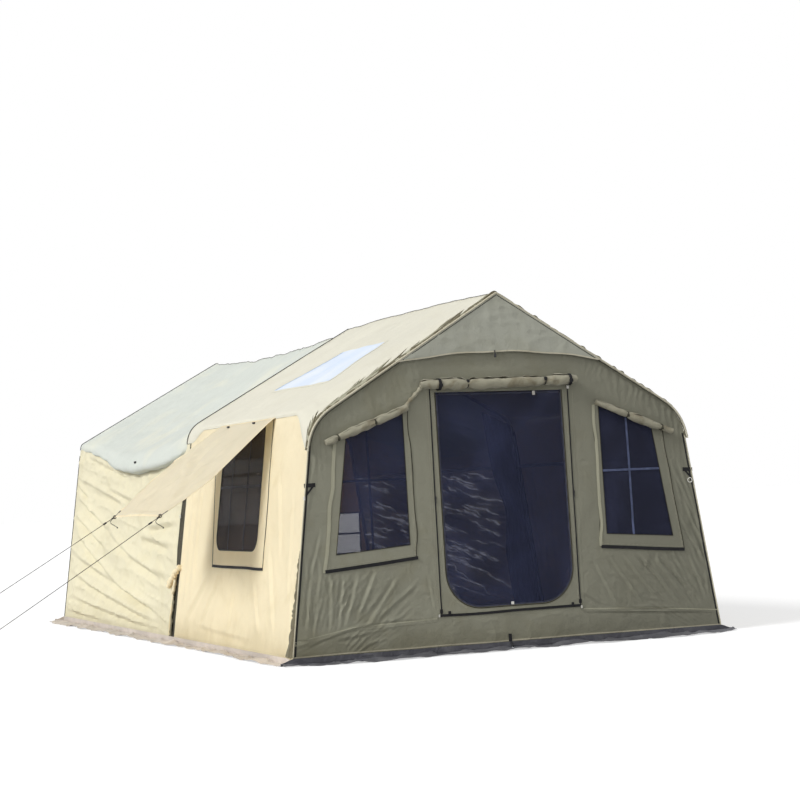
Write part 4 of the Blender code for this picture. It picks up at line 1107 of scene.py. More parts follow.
def doorway(inset, top_inset=0.0):
    left, right = DOOR_CENTRE - DOOR_HALF + inset, DOOR_CENTRE + DOOR_HALF - inset
    return rounded_opening(left, right, DOOR_FOOT + inset, DOOR_TOP - top_inset, DOOR_CORNER - inset, 14)


FRONT_OUTLINE = arch_line(FRONT_EAVE, FRONT_ROUNDING, FRONT_PEAK, 0.0034, HEM)
DOOR_PATCH = [(-0.640, 2.16), (-0.640, 0.285), (0.572, 0.285), (0.594, 2.16)]

# Folds seen on the front wall: their ends, half width and height
FRONT_FOLDS = [
    ([(-1.503, 0.673), (-1.546, 0.202)], 0.024, 0.009),
    ([(-1.407, 0.668), (-1.476, 0.223)], 0.022, 0.010),
    ([(-1.281, 0.673), (-1.434, 0.233)], 0.026, 0.012),
    ([(-1.141, 0.678), (-1.349, 0.265)], 0.026, 0.012),
    ([(-0.961, 0.616), (-1.283, 0.209)], 0.028, 0.012),
    ([(-0.780, 0.553), (-1.226, 0.231)], 0.026, 0.011),
    ([(-1.669, 0.657), (-1.736, 0.216)], 0.022, 0.010),
    ([(-1.601, 0.653), (-1.686, 0.149)], 0.020, 0.008),
    ([(-0.910, 0.313), (-1.084, 0.247)], 0.016, 0.006),
    ([(-1.847, 0.179), (-1.698, 0.181)], 0.014, 0.006),
    ([(-1.844, 0.122), (-1.686, 0.149)], 0.014, 0.006),
    ([(-1.536, 0.151), (-0.973, 0.227)], 0.018, 0.008),
    ([(-1.869, 0.060), (-1.351, 0.233), (-0.686, 0.252)], 0.016, 0.008),
    ([(-1.587, 1.554), (-1.717, 0.993)], 0.022, 0.008),
    ([(-1.567, 0.985), (-1.669, 0.657)], 0.020, 0.008),
    ([(-0.719, 0.602), (-0.682, 0.311)], 0.018, 0.006),
    ([(1.114, 0.662), (1.375, 0.385)], 0.026, 0.010),
    ([(1.255, 0.654), (1.577, 0.218)], 0.028, 0.012),
    ([(1.393, 0.600), (1.615, 0.246)], 0.024, 0.010),
    ([(0.571, 0.404), (0.801, 0.253)], 0.024, 0.009),
    ([(1.466, 1.468), (1.568, 0.964)], 0.022, 0.008),
    ([(1.536, 1.434), (1.736, 0.800)], 0.024, 0.010),
    ([(1.564, 1.120), (1.759, 0.642)], 0.024, 0.010),
    ([(0.710, 0.638), (0.905, 0.246)], 0.024, 0.009),
    ([(1.600, 1.338), (1.690, 1.115)], 0.018, 0.007),
    ([(1.677, 0.959), (1.793, 0.406)], 0.022, 0.009),
    ([(1.578, 0.652), (1.757, 0.206)], 0.024, 0.010),
    ([(1.432, 0.212), (0.905, 0.246)], 0.018, 0.008),
    ([(0.558, 0.239), (1.844, 0.154)], 0.016, 0.008),
    ([(0.842, 0.669), (1.154, 0.236)], 0.022, 0.012),
    ([(0.962, 0.686), (1.312, 0.242)], 0.024, 0.014),
    ([(1.100, 0.695), (1.522, 0.188)], 0.024, 0.015),
    ([(1.282, 0.669), (1.712, 0.216)], 0.024, 0.014),
    ([(1.484, 0.634), (1.770, 0.334)], 0.022, 0.013),
    ([(1.472, 1.039), (1.824, 0.412)], 0.022, 0.013),
    ([(1.458, 1.429), (1.798, 0.657)], 0.022, 0.012),
]


# Where folds spread from the foot of each corner: the point, their reach, their two angles and their seed
FANS = [((-1.72, -0.16), 1.15, -0.10, 1.20, 6), ((1.95, -0.16), 1.50, -1.15, 0.02, 7)]


def folds(u, v, listed, narrow=1.0):
    total = np.zeros(np.shape(u))
    for points, width, height in listed:
        run = np.abs(np.array(points[-1]) - np.array(points[0]))
        total = total + fold(u, v, points, width * narrow, height, upright=run[1] > run[0])
    return total


def patch_mask(u, v, loop, reach=0.07, rest=0.12):
    """1 away from a sewn patch, falling to rest on it."""
    loop = np.array(loop, float)
    away = np.where(inside(u, v, loop), 0.0, edge_distance(u, v, loop))
    return rest + (1 - rest) * ease(away / reach)


def fan(u, v, focus, near, far, low, high, pitch, height, seed):
    """Folds that spread from a point: between two distances and two angles from straight up."""
    away_u, away_v = u - focus[0], v - focus[1]
    reach, angle = np.hypot(away_u, away_v), np.arctan2(away_u, away_v)
    within = ease((reach - near) / 0.14) * ease((far - reach) / 0.45)
    within = within * ease((angle - low) / 0.12) * ease((high - angle) / 0.12)
    turn = angle * 2 * math.pi / pitch + 5.0 * noise(u, v, 0.26, seed) + 2.0 * noise(u, v, 0.10, seed + 2)
    strong = np.clip(0.5 + 0.9 * noise(u * 1.4, v, 0.15, seed + 1), 0, 1.3)
    return height * within * strong * (1 - 1.8 * np.abs(np.sin(turn / 2)) ** 0.8)


def front_relief(x, z):
    height = 0.0046 * crumple(x, z * 0.7, 0.62, 1) + 0.0016 * crumple(x * 1.5, z, 0.16, 2)
    height = height + 0.0030 * creases(x + 0.35 * z, z * 0.6, 0.30, 3) + 0.50 * folds(x, z, FRONT_FOLDS, 0.50)
    height = height + 0.0009 * crumple(x * 0.7, z * 1.6, 0.055, 4) + 0.0016 * creases(x * 0.5, z, 0.12, 9)
    for focus, far, low, high, seed in FANS:
        height = height + fan(x, z, focus, 0.36, far, low, high, 0.085, 0.0052, seed)
        height = height + fan(x, z, focus, 0.36, far, low, high, 0.052, 0.0036, seed + 2)
    edge = edge_distance(x, z, FRONT_OUTLINE)
    pull = np.sin(x * 105 + 3.2 * noise(x, z, 0.11, 5)) * np.exp(-edge / 0.10)
    height = height + 0.0040 * pull * ease((z - 1.2) / 0.4)
    for side in (-1, 1):
        height = height * patch_mask(x, z, window_border(side))
    return height * patch_mask(x, z, DOOR_PATCH, 0.06, 0.0)


front = Cloth(front_base, front_relief, FRONT_OUTLINE, 0.006, 0.030)
flat_front = Cloth(front_base, lambda u, v: u * 0)


def net_cloth(base, outline, seed, depth=0.010):
    """Netting that hangs a little slack in its opening."""

    def relief(u, v):
        wide = depth * 0.6 * crumple(u * 0.8, v * 0.4, 0.42, seed)
        return wide + depth * 0.25 * noise(u, v, 0.12, seed + 5)

    return Cloth(base, relief, outline, 0.012, 0.12)


def rolled_flap(node, start, end, radius, ties, turns, wall, finish, seed, phase=0.0, shape=()):
    """A flap rolled up on itself: a spiral of cloth along a line, drawn in at its ties."""
    start, end = np.array(start, float), np.array(end, float)
    length = np.linalg.norm(end - start)
    axis = unit(end - start)
    across = unit(np.array(wall) - axis * np.dot(wall, axis))
    up = np.cross(axis, across)
    t = np.linspace(0, 1, int(length / 0.013))[:, None]
    angle = np.linspace(0, turns * 2 * math.pi, int(turns * 16) + 1)[None, :]
    size = 1 - 0.10 * np.exp(-t * length / 0.020) - 0.10 * np.exp(-(1 - t) * length / 0.020)
    if shape:
        size = np.interp(t, *np.transpose(shape))
    for tie in ties:
        size = size - 0.16 * np.exp(-(((t - tie) * length / 0.022) ** 2))
    share = angle / angle.max()
    spiral = lerp(0.010, radius - 0.0015, share)
    lumps = noise(t * length, angle * 0.02, 0.12, seed) * 0.16
    lumps = lumps + noise(t * length + angle * 0.02, angle * 0.03, 0.045, seed + 1) * 0.15
    near_tie = 0.45 + sum(np.exp(-np.abs(t - tie) * length / 0.09) for tie in ties)
    turned = t * length * 45 + angle * 2.0 + 5 * noise(t * length, angle * 0.03, 0.2, seed + 3)
    pinched = angle * 5 + 5 * noise(t * length, angle * 0.1, 0.12, seed + 4)
    twist = np.sin(turned) * 0.075 + np.sin(pinched) * 0.085 * near_tie
    reach = spiral * size * (1 + (lumps + twist) * share ** 2)
    sag = -0.010 * np.sin(math.pi * t) * np.ones_like(angle)
    drift = 0.004 * np.sin(t * 7 + seed)

    def ring_at(extra):
        r = np.minimum((reach + extra)[:, :, None], radius + 0.003)
        a = (angle + phase)[:, :, None]
        centre = start + (end - start) * t[:, :, None]
        points = centre + (across * np.cos(a) + up * np.sin(a)) * r
        points[:, :, 2] += (sag + drift) * 0.5
        return points

    uv = np.stack([np.broadcast_to(spiral * angle, reach.shape), np.broadcast_to(t * length, reach.shape)], 2)
    piece = grid_piece(node + "_cloth", ring_at(CLOTH / 2), ring_at(-CLOTH / 2), uv, finish)
    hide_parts(node)


def strap_round(pile, centre, axis, radius, width, thick=0.0024, sides=22):
    """A webbing strap drawn tight round a roll."""
    axis = unit(axis)
    across = unit(np.cross(axis, [0.1, 0.2, 1.0]))
    other = np.cross(axis, across)
    rings = []
    for angle in np.arange(sides) * 2 * math.pi / sides:
        away = across * math.cos(angle) + other * math.sin(angle)
        corners = ((radius, -0.5), (radius + thick, -0.5), (radius + thick, 0.5), (radius, 0.5))
        rings.append([np.asarray(centre) + away * r + axis * w * width for r, w in corners])
    return pile.loft(rings, closed=True)


ROLL_TIES = (0.2, 0.8)


def roll_straps(name, start, end, radius):
    """The two straps round the roll of a side or back window."""
    straps = Pile()
    for at in ROLL_TIES:
        centre = lerp(start, end, at) + np.array([0, 0, -0.004])
        strap_round(straps, centre, end - start, radius * 0.80, 0.024)
    straps.piece(name, black_tape, slot="webbing")


def on_front(x, z, out):
    return front_base(np.array([x]), np.array([z]))[0][0] + unit([0, -1, FRONT_LEAN]) * out


def zip_line(pile, cloth, path, width, sway=None):
    """A zip's tape with its narrow raised coil."""
    pile.ribbon(cloth, path, width, PATCH, NEAR, sway=sway)
    pile.ribbon(cloth, path, width * 0.28, 0.0022, NEAR + 0.0012, sway=sway)


def wave(size, pitch, seed):
    """How far a tape strays sideways, for each length along it."""
    return lambda along: size * noise(along, along * 0 + seed, pitch, seed)


# Seam at the left and right of the front wall's foot, above the hem
LEFT_SEAM = [(-1.832, 0.150), (-1.351, 0.232), (-0.668, 0.252)]
RIGHT_SEAM = [(0.600, 0.246), (1.20, 0.214), (1.834, 0.160)]


def raised(path, height):
    return [(x, z + height) for x, z in path]


def make_front_wall():
    holes = [doorway(0.0), front_window(-1, 0.0), front_window(1, 0.0)]
    borders = []
    for side, label in SIDES:
        border, _ = panel(
            f"front_window_border_{label}", front, window_border(side), [front_window(side, -0.002)], 0.018,
            olive, thick=PATCH, out=ON_TAPE, slot="olive_canvas",
        )
        borders.append(border)
    sheet_panel(
        "front_wall", front, FRONT_OUTLINE, holes, FRONT_SPACING, olive, "hung",
        ["front_leg_left", "front_leg_right"], trims=borders, slot="olive_canvas",
    )

    black, dull = Pile(), Pile()
    for line in ZIPS.values():
        zip_line(black, front, line, 0.010, wave(0.002, 0.35, 2))
    black.ribbon(front, [(-0.638, 0.285), (0.569, 0.285)], 0.020, 0.0040, sway=wave(0.006, 0.40, 4))
    for side in (-1, 1):
        border = window_border(side)
        black.ribbon(front, border[2:4], 0.026, 0.0040, ON_PATCH, sway=wave(0.005, 0.30, 3 + side))
        inner = [(border[0][0], 1.86), border[3]]
        dull.ribbon(front, inner, 0.006, 0.0020, ON_PATCH, sway=wave(0.012, 0.16, 8 + side))
        if side > 0:
            dull.ribbon(front, border[1:3], 0.006, 0.0018, ON_PATCH, sway=wave(0.006, 0.18, 6))
        corner = [(side * (wall_x(z) - 0.020), z) for z in np.linspace(1.62, 0.055, 30)]
        black.ribbon(front, corner, 0.012, sway=wave(0.004, 0.30, 12 + side))
        dull.ribbon(front, front_window(side, -0.003), 0.005, TAPE, ON_PATCH, closed=True)
    # A painted shadow: a dark line along the arch, under the roof's front edge where it stands out from the
    # wall.
    hood_shadow = arch_line(FRONT_EAVE, FRONT_ROUNDING, FRONT_PEAK, 0.012, 1.60)
    dull.ribbon(flat_front, hood_shadow, 0.006, TAPE, ROOF_HOOD - 0.0012)
    for x, z in ((-0.628, 0.318), (0.573, 0.322), (-0.560, 0.300), (0.505, 0.300)):
        black.block(on_front(x, z, 0.004), (0.022, 0.006, 0.034))
    black.piece("front_zips_and_bars", black_tape, slot="webbing")
    dull.piece("front_window_zips_and_hood_shadow", dark_tape, slot="webbing")

    teeth = [front.at(walk(line, 0.02), 0.0042) for line in ZIPS.values()]
    beads("front_zip_teeth", teeth, TOOTH_STEP, TOOTH_SIZE, black_plastic)

    pale = Pile()
    for side in (-1, 1):
        edge = [(side * (wall_x(z) - 0.004), z) for z in np.linspace(1.60, 0.050, 40)]
        pale.cord(front, edge, 0.0045, -0.002)
    hem = [(-1.846, 0.058), (-0.9, 0.062), (0, 0.056), (0.9, 0.060), (1.846, 0.056)]
    pale.ribbon(front, hem, 0.009, 0.0018, sway=wave(0.006, 0.3, 9))
    pale.piece("front_piping", piping_white, slot="cream_canvas")

    # Turned edges on the -x side of the front windows and thin lines above the foot seams: real edges, painted
    # lighter as painted highlights.
    light = Pile()
    for path, width, seed in (
        ([(-1.408, 1.690), (-1.552, 0.664)], 0.026, 5),
        ([(0.812, 1.870), (0.802, 0.742)], 0.024, 7),
    ):
        light.ribbon(front, path, width, 0.0030, 0.0026, sway=wave(0.010, 0.16, seed))
    for path in (
        [(-1.832, 0.166), (-1.351, 0.246), (-0.668, 0.266)],
        [(0.600, 0.260), (1.20, 0.228), (1.834, 0.172)],
    ):
        light.ribbon(front, path, 0.006, 0.0022)
    light.piece("window_edge_highlights", lit_olive, slot="olive_canvas")

    tape = Pile()
    for path, width, thick in (
        (LEFT_SEAM, 0.024, PATCH),
        (RIGHT_SEAM, 0.024, PATCH),
        ([LEFT_SEAM[-1], (-0.655, 2.16)], 0.020, THIN),
        ([RIGHT_SEAM[0], (0.612, 2.16)], 0.020, THIN),
    ):
        tape.ribbon(front, path, width, thick)
    tape.piece("front_seam_tapes", olive, slot="olive_canvas")

    lines = []
    for path, out in (
        (raised(LEFT_SEAM, 0.008), ON_TAPE),
        (raised(RIGHT_SEAM, 0.008), ON_TAPE),
        ([(-0.655, 0.30), (-0.642, 2.10)], ON_TAPE),
        ([(-0.608, 0.30), (-0.597, 2.10)], ON_CLOTH),
        ([(0.607, 0.30), (0.630, 2.10)], ON_CLOTH),
        ([(0.556, 0.30), (0.566, 2.10)], ON_CLOTH),
        (doorway(-0.012), ON_CLOTH),
        (doorway(-0.024), ON_CLOTH),
    ):
        lines.append(front.at(walk(path, 0.02), out))
    for side in (-1, 1):
        lines += border_stitches(front, window_border(side))
    beads("front_wall_stitches", lines, STITCH_STEP, STITCH_SIZE, piping_white)


# Thickness of each roll in shares of its radius, at shares of its length
WINDOW_ROLL_SHAPES = {
    "left": [
        (0, 0.44), (0.03, 0.58), (0.08, 0.74), (0.15, 0.56), (0.32, 0.88), (0.6, 0.74), (0.8, 0.76), (1, 0.6),
    ],
    "right": [(0, 0.55), (0.2, 0.72), (0.4, 0.66), (0.56, 0.88), (0.75, 0.84), (0.85, 0.66), (1, 0.55)],
}
DOOR_ROLL_SHAPE = [
    (0, 0.58), (0.05, 0.82), (0.11, 0.86), (0.2, 0.96), (0.29, 0.72), (0.38, 0.90), (0.55, 0.86), (0.7, 0.92),
    (0.79, 0.70), (0.87, 0.94), (0.95, 0.88), (1, 0.66),
]


def make_front_windows():
    for side, label in SIDES:
        outline = front_window(side, WINDOW_LAP)
        mesh = net_cloth(front_base, outline, 20 + side)
        sheet_panel(
            f"front_window_mesh_{label}", mesh, outline, [], 0.028, dense_net if side > 0 else net,
            "stretched", ["front_wall_cloth"], thick=NET, out=BEHIND, slot="insect_mesh",
        )
        cross = Pile()
        middle, top, level = (1.10, 1.775, -0.0020) if side > 0 else (-1.155, 1.755, -0.0060)
        cross.ribbon(mesh, [(middle, top), (middle, 0.822)], 0.018, PATCH, level)
        bar = both(side, [(0.846, 1.342), (1.386, 1.342)])
        cross.ribbon(mesh, bar, 0.018, PATCH, level + 0.0016 * side)
        finish = window_tape if side > 0 else shaded_tape
        cross.piece(f"front_window_webbing_{label}", finish, slot="webbing")
        (x0, z0), (x1, z1), radius = WINDOW_ROLL
        inner, outer = on_front(side * x0, z0, radius * 0.82), on_front(side * x1, z1, radius * 0.82)
        start, end = (inner, outer) if side > 0 else (outer, inner)
        ties = (0.40, 0.85) if side > 0 else (0.15, 0.60)
        rolled_flap(
            f"front_window_roll_{label}", start, end, radius, ties, 8, (0, 1, 0), lit_rolled_canvas,
            31 + side, phase=2.2, shape=WINDOW_ROLL_SHAPES[label],
        )
        straps = Pile()
        run = unit(end - start)
        for tie in ties:
            spot = lerp(start, end, tie) + np.array([0, 0, -0.005 * math.sin(math.pi * tie)])
            strap_round(straps, spot, run, radius * 0.56, 0.009)
            straps.block(spot + np.array([0, -radius * 0.52, -radius * 0.2]), (0.020, 0.012, 0.022))
        straps.piece(f"front_window_ties_{label}", dark_tape, slot="webbing")


def make_mesh_door():
    outline = doorway(DOOR_GAP, DOOR_TOP_GAP)
    mesh = net_cloth(front_base, outline, 40, 0.014)
    binding = Pile()
    binding.ribbon(mesh, doorway(0.0065, 0.016), 0.011, TAPE, 0.0)
    binding.ribbon(mesh, [(DOOR_CENTRE - 0.53, 1.983), (DOOR_CENTRE + 0.53, 1.983)], 0.012, TAPE, 0.0)
    trim = binding.piece("door_mesh_binding", shaded_tape, "mesh_door", "webbing")
    sheet_panel(
        "door_mesh", mesh, outline, [], 0.028, net, "hung", ["front_wall_cloth"], body="mesh_door",
        thick=NET, out=-0.0005, slot="insect_mesh", trims=[trim],
    )
    zips = Pile()
    zip_line(zips, front, doorway(-0.006), 0.008)
    zips.piece("door_mesh_zip", dark_tape, slot="webbing")


def make_door_roll():
    (x0, z0), (x1, z1), radius = DOOR_ROLL
    start, end = on_front(x0, z0, radius + 0.0008), on_front(x1, z1, radius + 0.0008)
    gathers, straps = (0.29, 0.79), (0.11, 0.95)
    rolled_flap(
        "door_roll", start, end, radius, gathers, 8, (0, 1, 0), lit_rolled_canvas,
        51, phase=2.0, shape=DOOR_ROLL_SHAPE,
    )
    black, run = Pile(), unit(end - start)
    for at in gathers + straps:
        spot = lerp(start, end, at) + np.array([0, 0, -0.005 * math.sin(math.pi * at)])
        if at in straps:
            strap_round(black, spot, run, radius * 0.90, 0.024)
            continue
        strap_round(black, spot, run, radius * 0.60, 0.008)
        black.block(spot + np.array([0, -radius * 0.50, radius * 0.30]), (0.024, 0.016, 0.030))
    for at in straps:
        spot = lerp(start, end, at) + np.array([0.004, -radius * 0.84, -0.010])
        black.block(spot, (0.034, 0.008, 0.026))
    black.piece("door_roll_straps", black_tape, slot="webbing")
    path = walk([(-0.690, 2.036), (-0.742, 1.985), (-0.800, 1.930), (-0.832, 1.884)], 0.012)
    tail = [on_front(x, z, 0.018) for x, z in path]
    tail = Pile().tube(tail, 0.015 + 0.004 * np.sin(np.arange(len(path)) * 1.3), sides=10)
    tail.piece("door_roll_corner", lit_rolled_canvas, slot="olive_canvas")
    moving = Pile().block(on_front(0.281, 1.978, 0.008), (0.026, 0.003, 0.034))
    moving.piece("mesh_door_tag", white_tape, "mesh_door", "white_plastic")
    tags = Pile().block(on_front(0.588, 2.020, 0.008), (0.022, 0.003, 0.030))
    for x, z in ((-0.648, 0.285), (0.582, 0.276)):
        tags.block(on_front(x, z, 0.006), (0.012, 0.005, 0.022))
    tags.piece("white_tags", white_tape, slot="white_plastic")


PELMET_OUT = 0.0296


def make_pelmet():
    middle = len(FRONT_OUTLINE) // 2
    apex, shoulder = FRONT_OUTLINE[middle], FRONT_OUTLINE[middle - 1]
    end = lerp(apex[1], shoulder[1], PELMET_HALF / -shoulder[0])
    rise = PELMET_MIDDLE - PELMET_END
    shares = np.linspace(1, -1, 25)
    hem = [(PELMET_HALF * t, PELMET_END + rise * (1 - t * t) + 0.004 * math.sin(t * 11)) for t in shares]
    gable_edge = [(-PELMET_HALF, end), tuple(apex), (PELMET_HALF, end)]

    def relief(x, z):
        drape = 0.005 * crumple(x, z * 0.6, 0.30, 61) + 0.003 * creases(x + z, z, 0.22, 62)
        drape = drape + 0.0045 * creases(x * 0.22, z - 0.10 * np.abs(x), 0.075, 64)
        sag = np.sin(x * 60 + 2 * noise(x, z, 0.2, 63)) * 0.0022 * np.exp(-(apex[1] - z) / 0.30)
        return drape + sag

    cloth = Cloth(front_base, relief, [*gable_edge, (0, end + 0.05)], 0.0, 0.05)
    hem_path = raised(hem, 0.006)
    trim = Pile().ribbon(cloth, hem_path, 0.010, THIN, PELMET_OUT + 0.0004)
    trim = trim.piece("pelmet_hem", piping_white, slot="olive_canvas")
    sheet_panel(
        "gable_pelmet", cloth, gable_edge + hem, [], 0.018, gable, "hung",
        ["front_rafter_left", "front_rafter_right"], out=PELMET_OUT, thick=PATCH, slot="olive_canvas",
        trims=[trim],
    )
    hook = Pile()
    path = [(-0.050, 2.318), (-0.048, 2.290), (-0.050, 2.262)]
    hook.tube([on_front(x, z, PELMET_OUT + 0.006 + 0.004 * i) for i, (x, z) in enumerate(path)], 0.004)
    hook.block(on_front(-0.049, 2.275, PELMET_OUT + 0.010), (0.018, 0.008, 0.030))
    hook.piece("pelmet_hook", black_metal, slot="black_metal")
    lines = [cloth.at(walk(hem_path, 0.02) + [0, 0.006], PELMET_OUT + 0.0020)]
    beads("pelmet_stitches", lines, STITCH_STEP, STITCH_SIZE, piping_white)


def make_corner_tabs():
    for side, label in SIDES:
        far, near = side * (wall_x(TAB_LEVEL) + 0.005), side * (wall_x(TAB_LEVEL) - 0.085)
        middle = TAB_LEVEL + TAB_HEIGHT / 2
        tab = Pile().ribbon(front, [(near, middle), (far, middle - 0.003)], TAB_HEIGHT, 0.0028, NEAR)
        slanted = [(near + side * 0.02, middle - 0.01), (far - side * 0.012, middle - 0.075)]
        tab.ribbon(front, slanted, 0.014, 0.002, 0.003)
        tab = tab.piece(f"corner_tab_{label}_webbing", black_tape, slot="webbing")
        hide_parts(f"corner_tab_{label}")
    rings = Pile()
    centre = on_front(1.652, 1.235, 0.010)
    rings.tube(helix(centre, (0.1, 1, 0), 0.019, 0.002, 1, 16), 0.0032)
    rings.block(on_front(-1.690, 1.228, 0.006), (0.014, 0.005, 0.030))
    rings.piece("corner_rings", white_plastic, slot="white_plastic")


make_front_wall()
make_front_windows()
make_mesh_door()
make_door_roll()
make_pelmet()
make_corner_tabs()


# Roofs


def roof_front_relief(back, v):
    broad = 0.006 * crumple(back, v, 0.60, 71) + 0.0022 * crumple(back * 1.3, v * 0.8, 0.17, 72)
    pull = 0.0030 * creases(back + 0.3 * v, v * 0.5, 0.33, 74)
    return (broad + pull) * ease(back / 0.15) * ease((FRONT_ROOM + ROOF_LAP - back) / 0.05)


def roof_rear_relief(back, v):
    slope = np.abs(v)
    broad = 0.013 * crumple(back * 0.8, v * 0.55, 0.55, 81) + 0.004 * crumple(back, v, 0.16, 82)
    crease = 0.010 * creases(back + 0.6 * slope, v * 0.45, 0.42, 83)
    crease = crease + 0.006 * creases(back, v * 0.4, 0.21, 84)
    run = np.sin((back + 0.25 * slope) * 11 + 2.5 * noise(back, v, 0.45, 85))
    run = run * 0.004 * ease((slope - 0.9) / 0.7)
    return (broad + crease + run) * ease((back - ROOF_SEAM) / 0.25) * ease((LENGTH - back) / 0.12)


def roof_stations(pairs):
    return np.concatenate([np.arange(a, b - step / 3, step) for a, b, step in pairs] + [[pairs[-1][1]]])


front_roof = Roof(
    roof_stations([(-ROOF_HOOD, 0.30, 0.009), (0.30, ROOF_SEAM - 0.0004, 0.024)]), False, ROOF_SPACING,
    roof_front_relief,
)
rear_roof = Roof(
    roof_stations([(ROOF_SEAM + 0.0004, LENGTH, REAR_SPACING)]), True, REAR_SPACING, roof_rear_relief
)


def make_roof(node, roof, finish, trims=()):
    uv = np.stack([roof.u, roof.v], 2)
    inner = roof.points - roof.away * CLOTH
    piece = grid_piece(node + "_cloth", roof.points, inner, uv, finish)
    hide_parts(node)


def slope_v(x):
    """Signed distance from the ridge down the left slope, for a distance from the tent's middle."""
    ridge, eave = ridge_height(1.5), eave_height(1.5)
    return -x * math.hypot(1, (ridge - eave) / wall_x(eave))


def make_gathers():
    """The roof's front edge, gathered into its seam: a bunched strip, and small pleats up the slope. The strip
    and most pleats are dark, painted shade; the rest are pale, painted highlights.
    """
    draw = np.random.default_rng(17)
    reach = front_roof.reach[3] - 0.010
    pleats, lit = Pile(), Pile()
    along = np.linspace(-reach, reach, 420)
    strip = np.stack([-0.006 + 0.006 * noise(along, along * 0, 0.05, 171), along], 1)
    size = 0.0115 + 0.0055 * noise(along, along * 0, 0.040, 172)
    pleats.tube(front_roof.at(strip, size * 0.8), size, sides=6)
    share = np.linspace(0, 1, 9)
    for side in (-1, 1):
        start = 0.02
        while start < reach:
            low = float(ease((start - 1.70) / 0.30))
            start += draw.uniform(0.012, 0.034)
            deep = draw.uniform(0.050, 0.190) * (1 - 0.40 * low)
            rise = draw.uniform(0.24, 0.58) * (1 - 0.5 * low)
            back = -0.014 + deep * share ** 1.1
            away = np.clip(start - rise * share, 0.010, reach)
            size = draw.uniform(0.0055, 0.0115) * np.sin(math.pi * (0.30 + 0.69 * share)) ** 0.9
            path = np.stack([back, side * away], 1)
            # About a third of the pleats are pale painted highlights, the others dark painted shade.
            pile, out = (lit, 1.1) if draw.uniform(0, 1) < 0.34 else (pleats, 0.6)
            pile.tube(front_roof.at(path, size * out), size, sides=6)
    lit.piece("roof_front_pleat_highlights", lit_olive, slot="beige_roof")
    return pleats.piece("roof_front_gathers", shaded_gathered_canvas, slot="beige_roof")


SEAM_REACH = 2.02


def line_across(back, reach, count):
    """A line over the roof from edge to edge, at a distance back."""
    return [(back, v) for v in np.linspace(-reach, reach, count)]


def line_on_ridge(start, end, count):
    return [(back, 0.0) for back in np.linspace(start, end, count)]


def make_roofs():
    make_roof(
        "roof_front", front_roof, beige,
        [make_gathers()],
    )
    make_roof("roof_rear", rear_roof, grey)

    pale = Pile()
    pale.cord(front_roof, line_across(-0.025, front_roof.reach[3], 180), 0.0078, -0.003)
    pale.piece("front_arch_piping", piping_white, slot="cream_canvas")

    tapes = Pile()
    tapes.ribbon(front_roof, line_across(ROOF_SEAM - 0.018, SEAM_REACH, 200), 0.030, PATCH)
    tapes.ribbon(front_roof, line_on_ridge(0.02, 3.22, 160), 0.030, THIN)
    tapes.piece("front_roof_seam_tapes", beige, slot="beige_roof")
    rear = Pile().ribbon(rear_roof, line_on_ridge(3.30, 7.40, 170), 0.030, THIN)
    rear.piece("rear_roof_seam_tapes", grey, slot="grey_roof")

    dark = Pile()
    dark.cord(rear_roof, line_across(LENGTH - 0.006, rear_roof.reach[-1], 160), 0.0040, -0.001)
    dark.cord(front_roof, line_across(ROOF_SEAM - 0.005, SEAM_REACH, 200), 0.0048, -0.001)
    dark.piece("roof_dark_piping", black_tape, slot="webbing")
    low = 0.165 - np.interp(4.737, rear_roof.backs, rear_roof.reach)
    toggle = Pile().block(rear_roof.at([(4.737, low)], 0.004)[0], (0.014, 0.050, 0.022))
    toggle.piece("rear_roof_toggle", black_plastic, slot="black_plastic")
    crest = Pile()
    crest.cord(front_roof, line_on_ridge(0.02, 3.24, 160), 0.0028, THIN)
    crest.cord(rear_roof, line_on_ridge(3.30, 7.42, 200), 0.0028, THIN)
    crest.piece("ridge_seam_cord", dark_tape, slot="webbing")

    lines = []
    for back in (0.030, 0.042, ROOF_SEAM - 0.030, ROOF_SEAM - 0.010):
        lines.append(front_roof.at(line_across(back, 1.95, 240), 0.0010))
    for side in (-1, 1):
        for roof, inset, backs in (
            (front_roof, 0.014, np.linspace(0.02, 3.22, 160)),
            (rear_roof, 0.016, np.linspace(3.30, 7.40, 200)),
        ):
            edge = [(b, side * (np.interp(b, roof.backs, roof.reach) - inset)) for b in backs]
            lines.append(roof.at(edge, 0.0010))
    beads("roof_stitches", lines, STITCH_STEP * 1.5, STITCH_SIZE, piping_white)


def make_skylight():
    pane = [(back, slope_v(x)) for x, back in SKYLIGHT]
    middle = np.mean(pane, axis=0)

    def grown(by):
        return [tuple(np.array(p) + unit(np.array(p) - middle) * by) for p in pane]

    border = Pile()
    border.ribbon(front_roof, grown(0.012), 0.050, THIN, ON_CLOTH, closed=True)
    border = border.piece("skylight_border", beige, slot="beige_roof")
    line = Pile().ribbon(front_roof, grown(-0.022)[2:], 0.009, 0.0010, 0.0030)
    line.piece("skylight_blue_line", blue_line, slot="clear_sheet")
    sheet_panel(
        "skylight", front_roof, pane, [], 0.020, film, "stretched", ["roof_front_cloth"], thick=0.0010,
        out=0.0026, slot="clear_sheet", trims=[border],
    )


make_roofs()
make_skylight()


# Side walls


def side_window(lap):
    left, right = SIDE_START - lap, SIDE_END + lap
    return rounded_opening(left, right, SIDE_FOOT - lap, SIDE_TOP + lap, SIDE_CORNER, 8)


SIDE_BORDER = [(0.835, 1.858), (0.830, 0.690), (2.170, 0.690), (2.300, 1.500), (2.310, 1.858)]
